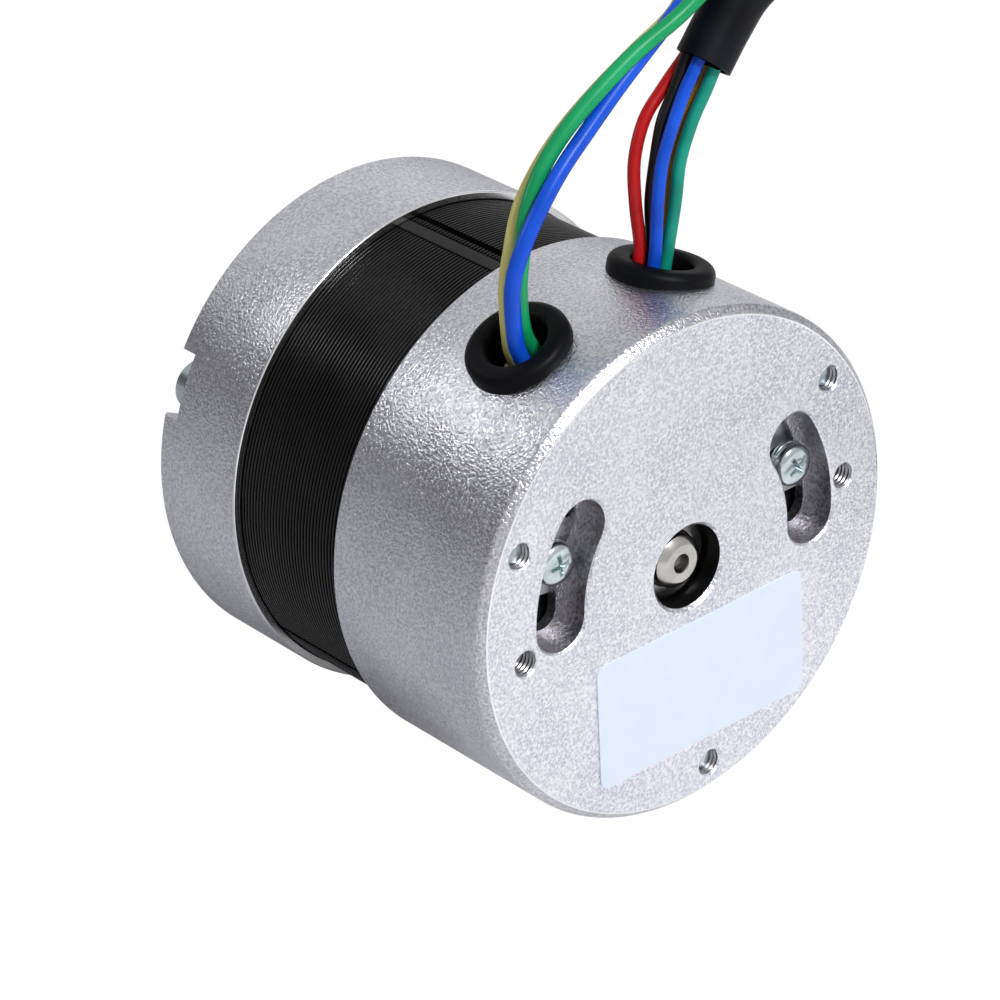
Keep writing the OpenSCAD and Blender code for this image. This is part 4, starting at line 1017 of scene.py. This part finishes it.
# %% Rear bearing
inner_race = turned("rear_inner_race", rounded([
    (3, 46.3, 0.2), (4.27, 46.3, 0.1), (4.27, 51.3, 0.1), (3, 51.3, 0.3)]), 96)
finish_piece(inner_race, race_steel, "rotor", "steel", "rear_bearing_inner_ring")
seal_outline = rounded([
    (4.37, 50.9, 0), (4.37, 51.12, 0.05), (4.75, 51.12, 0.08), (4.85, 51.0, 0.05), (5.6, 51.0, 0.05),
    (5.75, 51.15, 0.08), (6.6, 51.15, 0.05), (6.6, 50.8, 0)])
rear_seal = turned("rear_seal_ring", seal_outline, 96)
lower_seal = turned("lower_seal_ring", [(4.37, 46.52), (6.6, 46.52), (6.6, 46.88), (4.37, 46.88)], 96)
cut(rear_seal, [lower_seal], "UNION")
finish_piece(rear_seal, seal_rubber, "housing", "rubber_black", "rear_bearing_seals")

# %% [markdown]
# ## Screws, threads and bolt ends
#
# Fasteners repeat, so trees place them. One tree puts a copy of a part on each point of a small
# base mesh. The thread tree winds a ridge down every tapped hole.

# %% Tree that places copies
copy_tree, given = new_tree("copies_at_points", [
    ("Places", "Geometry", None), ("Part", "Object", None), ("Turn Each", "Float", None),
    ("Finish", "Material", None)])
part = add(copy_tree, "GeometryNodeObjectInfo", {"Object": given["Part"]}, transform_space="ORIGINAL")
number = add(copy_tree, "GeometryNodeInputIndex")
swing = math_node(copy_tree, "MULTIPLY", number, given["Turn Each"])
turned_by = add(copy_tree, "ShaderNodeCombineXYZ", [0.0, swing, 0.0])
copies = add(copy_tree, "GeometryNodeInstanceOnPoints",
             {"Points": given["Places"], "Instance": part.outputs["Geometry"], "Rotation": turned_by})
end_tree(copy_tree, copies, given["Finish"])


def copies_at(name, part, places, turn_each, material):
    """Copies of a part at some places, each turned a little more, instead of the part."""
    made = grown(name, copy_tree, places, Part=part, Finish=material, **{"Turn Each": turn_each})
    bpy.data.objects.remove(part)
    return made


# %% Timing screws
HEAD_Y = LEDGE_Y + 0.5
HEAD_TOP = HEAD_Y + 1.5
screw_places = [around(a, SLOT_RADIUS) for a in SCREW_ANGLES]


def cross_recess(top, depth):
    """Four tapered wings of a cross recess, as two crossing wedges."""
    corners = ((-1, -1), (1, -1), (1, 1), (-1, 1))
    return [prism("wedge", [(x * wide * 0.62, z * deep * 0.62) for x, z in corners], top - depth, top + 0.3,
                  flared=[(x * wide, z * deep) for x, z in corners])
            for wide, deep in ((1.35, 0.27), (0.27, 1.35))]


screw = turned("screw", [
    (0, 43.2), (1.0, 43.2), (1.2, 43.5), (1.2, HEAD_Y), (2.2, HEAD_Y), (2.33, HEAD_Y + 0.08),
    (2.35, HEAD_Y + 0.7), (2.28, HEAD_Y + 0.95), (2.05, HEAD_Y + 1.2), (1.6, HEAD_Y + 1.38),
    (0.9, HEAD_Y + 1.48), (0, HEAD_TOP)], 64, closed=False)
cut(screw, cross_recess(HEAD_TOP, 1.15))
break_edges(screw, 0.05, limit=40, segments=2)
screws = copies_at("timing_screw_pair", screw, screw_places, math.radians(27), zinc)
finish_piece(screws, zinc, "timing_ring", "zinc", "timing_screws", smooth=30)

washer = turned("washer", rounded([(1.4, LEDGE_Y, 0.05), (2.45, LEDGE_Y, 0.05), (2.45, HEAD_Y, 0.12),
                                   (1.4, HEAD_Y, 0.12)], 3), 64)
gap = prism("gap", [(0, -0.2), (5, -0.2), (5, 0.2), (0, 0.2)], 50, 53)
cut(washer, [gap])
washers = copies_at("lock_washer_pair", washer, screw_places, math.radians(-40), zinc)
finish_piece(washers, zinc, "timing_ring", "zinc", "timing_lock_washers", smooth=30)

# %% Thread tree
thread_tree, given = new_tree("wound_thread", [
    ("Places", "Geometry", None), ("Radius", "Float", 1.4), ("Pitch", "Float", THREAD_PITCH),
    ("Turns", "Float", 6.0), ("Ridge", "Float", 0.17), ("Finish", "Material", None)])
height = math_node(thread_tree, "MULTIPLY", given["Pitch"], given["Turns"])
helix = add(thread_tree, "GeometryNodeCurveSpiral",
            {"Resolution": 32, "Rotations": given["Turns"], "Start Radius": given["Radius"],
             "End Radius": given["Radius"], "Height": height})
level = add(thread_tree, "GeometryNodeSetCurveNormal", {"Curve": helix}, mode="Z_UP")
section = add(thread_tree, "GeometryNodeCurvePrimitiveCircle", {"Resolution": 4, "Radius": given["Ridge"]})
ridge = add(thread_tree, "GeometryNodeCurveToMesh",
            {"Curve": level, "Profile Curve": section.outputs["Curve"], "Fill Caps": True})
wound = add(thread_tree, "GeometryNodeInstanceOnPoints",
            {"Points": given["Places"], "Instance": ridge, "Rotation": (math.radians(-90), 0, 0)})
end_tree(thread_tree, wound, given["Finish"])


def threads(name, places, turns):
    """Thread ridges in the holes of the rear cap."""
    made = grown(name, thread_tree, places, Finish=shaded_thread_metal, Turns=turns)
    finish_piece(made, shaded_thread_metal, "housing", "cast", smooth=20)


threads("tapped_threads", [around(a, TAPPED_RADIUS, 50.3) for a in TAPPED_ANGLES], 7.0)
threads("bolt_hole_threads", [around(a, BOLT_RADIUS, 52.6) for a in BOLT_ANGLES], 2.4)

# %% Bolt ends
bolt = turned("bolt", rounded([
    (0, 1.7, 0), (2.5, 1.7, 0.3), (2.8, 1.0, 0), (2.8, 3, 0), (1.45, 3, 0), (1.45, STACK_REAR, 0),
    (1.24, STACK_REAR, 0), (1.24, 52.9, 0), (1.1, 53.0, 0), (0, 53.0, 0)], 3), 48, closed=False)
bolts = copies_at("through_bolt_set", bolt, [around(a, BOLT_RADIUS) for a in BOLT_ANGLES], 0.0, zinc)
finish_piece(bolts, zinc, "housing", "zinc", "through_bolts", smooth=30)

# %% [markdown]
# ## Parts that keep their solid
#
# The remaining nodes already have the right shape. They only get their finish.

# %% Finishes for the other solids
FINISH = {
    "cast": blasted, "steel": race_steel, "zinc": zinc, "laminations": core_steel, "magnet": nickel,
    "copper": enamelled_copper, "nylon": nylon, "dark_plastic": carrier_plastic, "board": solder_mask,
    "rubber_black": seal_rubber, "label_film": label_film, **vinyl}
SPECIAL = {"hall_sensors": sensor_epoxy, "rating_label": label_film, "timing_plates": pale_zinc_painted_light}
slots = {part["node"]: part["material_slot"] for part in frame["record"]["subparts"]}
for name, obj in nodes.items():
    material = SPECIAL.get(name, FINISH[slots[name]])
    obj.data.materials.clear()
    obj.data.materials.append(material)
    obj.data.set_sharp_from_angle(angle=math.radians(30))
print(len(nodes), "solids have their finish")

# %% [markdown]
# ## Floor, room and lamps
#
# The motor lies on a white floor in soft light. The camera sees pure white. Metal is only as
# bright as what it mirrors, so the floor's colour is painted darker beside the motor, a painted
# shade, and a grey room beyond it glows for reflections only, with a dark band painted in: a
# painted reflection that lights nothing. Both are what the sides of the end caps show.

# %% Floor
bm = bmesh.new()
bmesh.ops.create_grid(bm, x_segments=1, y_segments=1, size=4000)
bmesh.ops.translate(bm, verts=bm.verts, vec=(0, 0, FLOOR - 0.02))
floor = mesh_object("studio_floor", bm)
floor.data.transform(Matrix.Scale(MM, 4))
PAINTED_SHADE_SLANT, PAINTED_SHADE_LENGTH = -0.6, 0.085
CAMERA_SHARE, MIRROR_SHARE = 0.93, 0.7
floor_paper, tree, shader = new_material("white_floor_painted_shade")
place = add(tree, "ShaderNodeSeparateXYZ", [object_place(tree)])
# 0 in the painted shade beside the motor, 1 on the white floor behind it
depth = math_node(tree, "MULTIPLY_ADD", place.outputs["X"], PAINTED_SHADE_SLANT, place.outputs["Y"])
depth = spread(tree, depth, 0.0, 1.0, least=0.0, most=PAINTED_SHADE_LENGTH)
feed(tree, shader, {"Base Color": ramp(tree, depth, [(0.0, "#C0C0C4"), (1.0, "#F4F4F6")]),
                    "Roughness": 0.9})
rays = add(tree, "ShaderNodeLightPath")
glow = add(tree, "ShaderNodeEmission", {"Color": (1, 1, 1, 1), "Strength": 1.065})
# the white that reflections see fades with the same painted shade
mirrored = math_node(tree, "MULTIPLY", rays.outputs["Is Glossy Ray"], depth)
mirrored = math_node(tree, "MULTIPLY", mirrored, MIRROR_SHARE)
seen = math_node(tree, "MAXIMUM", rays.outputs["Is Camera Ray"], rays.outputs["Is Transmission Ray"])
part_white = math_node(tree, "MULTIPLY_ADD", seen, CAMERA_SHARE, mirrored)
blend = add(tree, "ShaderNodeMixShader", {"Fac": part_white, 1: shader, 2: glow})
feed(tree, tree.nodes["Material Output"], {"Surface": blend})
floor.data.materials.append(floor_paper)

# %% World
world = bpy.data.worlds.new("studio")
bpy.context.scene.world = world
world.use_nodes = True
tree = world.node_tree
rays = add(tree, "ShaderNodeLightPath")
seen = math_node(tree, "MAXIMUM", rays.outputs["Is Camera Ray"], rays.outputs["Is Glossy Ray"])
seen = math_node(tree, "MAXIMUM", seen, rays.outputs["Is Transmission Ray"])
strength = spread(tree, seen, 0.4, 1.0, least=0.0, most=1.0)
feed(tree, tree.nodes["Background"], {"Color": (1, 1, 1, 1), "Strength": strength})


# %% Room round the motor
def mirror_card(name, bm, material):
    """A stage piece that only reflections see: it glows as a painted reflection and lights nothing."""
    card = mesh_object(name, bm)
    card.data.transform(Matrix.Scale(MM, 4))
    card.data.materials.append(material)
    card.visible_camera = False
    card.visible_diffuse = False
    card.visible_shadow = False


painted_reflection_room, tree, _ = new_material("grey_room")
place = add(tree, "ShaderNodeSeparateXYZ", [object_place(tree)])
swing = math_node(tree, "ARCTAN2", place.outputs["Z"], place.outputs["X"])
swing = spread(tree, swing, 0.0, 1.0, least=0.0, most=math.pi)
# painted brightness of the room, dark band included, from the horizon on the right, over the top,
# to the horizon on the left: a painted reflection for the sides of the end caps
tones = ramp(tree, swing, [(0.0, 0.5), (0.05, 0.24), (0.2, 0.11), (0.28, 0.15), (0.37, 0.5), (0.45, 0.55),
                           (0.63, 0.52), (0.8, 0.62), (1.0, 0.8)])
behind_camera = spread(tree, place.outputs["Y"], 0.0, 1.0, least=-0.1, most=0.5)
tones = add(tree, "ShaderNodeMix", {"Factor": behind_camera, "A": tones, "B": (0.6, 0.6, 0.61, 1)},
            data_type="RGBA")
glow = add(tree, "ShaderNodeEmission", {"Color": tones.outputs["Result"], "Strength": 1.0})
feed(tree, tree.nodes["Material Output"], {"Surface": glow})
bm = bmesh.new()
ROOM_RADIUS, ROOM_FOOT = 1500, FLOOR - 150
bmesh.ops.create_uvsphere(bm, u_segments=64, v_segments=32, radius=ROOM_RADIUS)
bmesh.ops.delete(bm, geom=[v for v in bm.verts if v.co.z < ROOM_FOOT], context="VERTS")
mirror_card("grey_room", bm, painted_reflection_room)


# %% Lamps
def soft_box(name, place, size, power, aim=(0, 0.03, 0)):
    data = bpy.data.lights.new(name, "AREA")
    data.shape = "RECTANGLE"
    data.size, data.size_y = size
    data.energy = power
    lamp = bpy.data.objects.new(name, data)
    way = Vector(aim) - Vector(place)
    lamp.matrix_world = Matrix.Translation(place) @ way.to_track_quat("-Z", "Y").to_matrix().to_4x4()
    lamp.visible_camera = False
    bpy.context.scene.collection.objects.link(lamp)


soft_box("key", (-0.04, 0.5, 0.52), (0.14, 0.14), 3.2)
soft_box("glint", (0.045, -0.002, 0.067), (0.012, 0.012), 0.0045, aim=(0.0175, 0.045, 0.0225))

bpy.context.scene.view_settings.view_transform = "Standard"
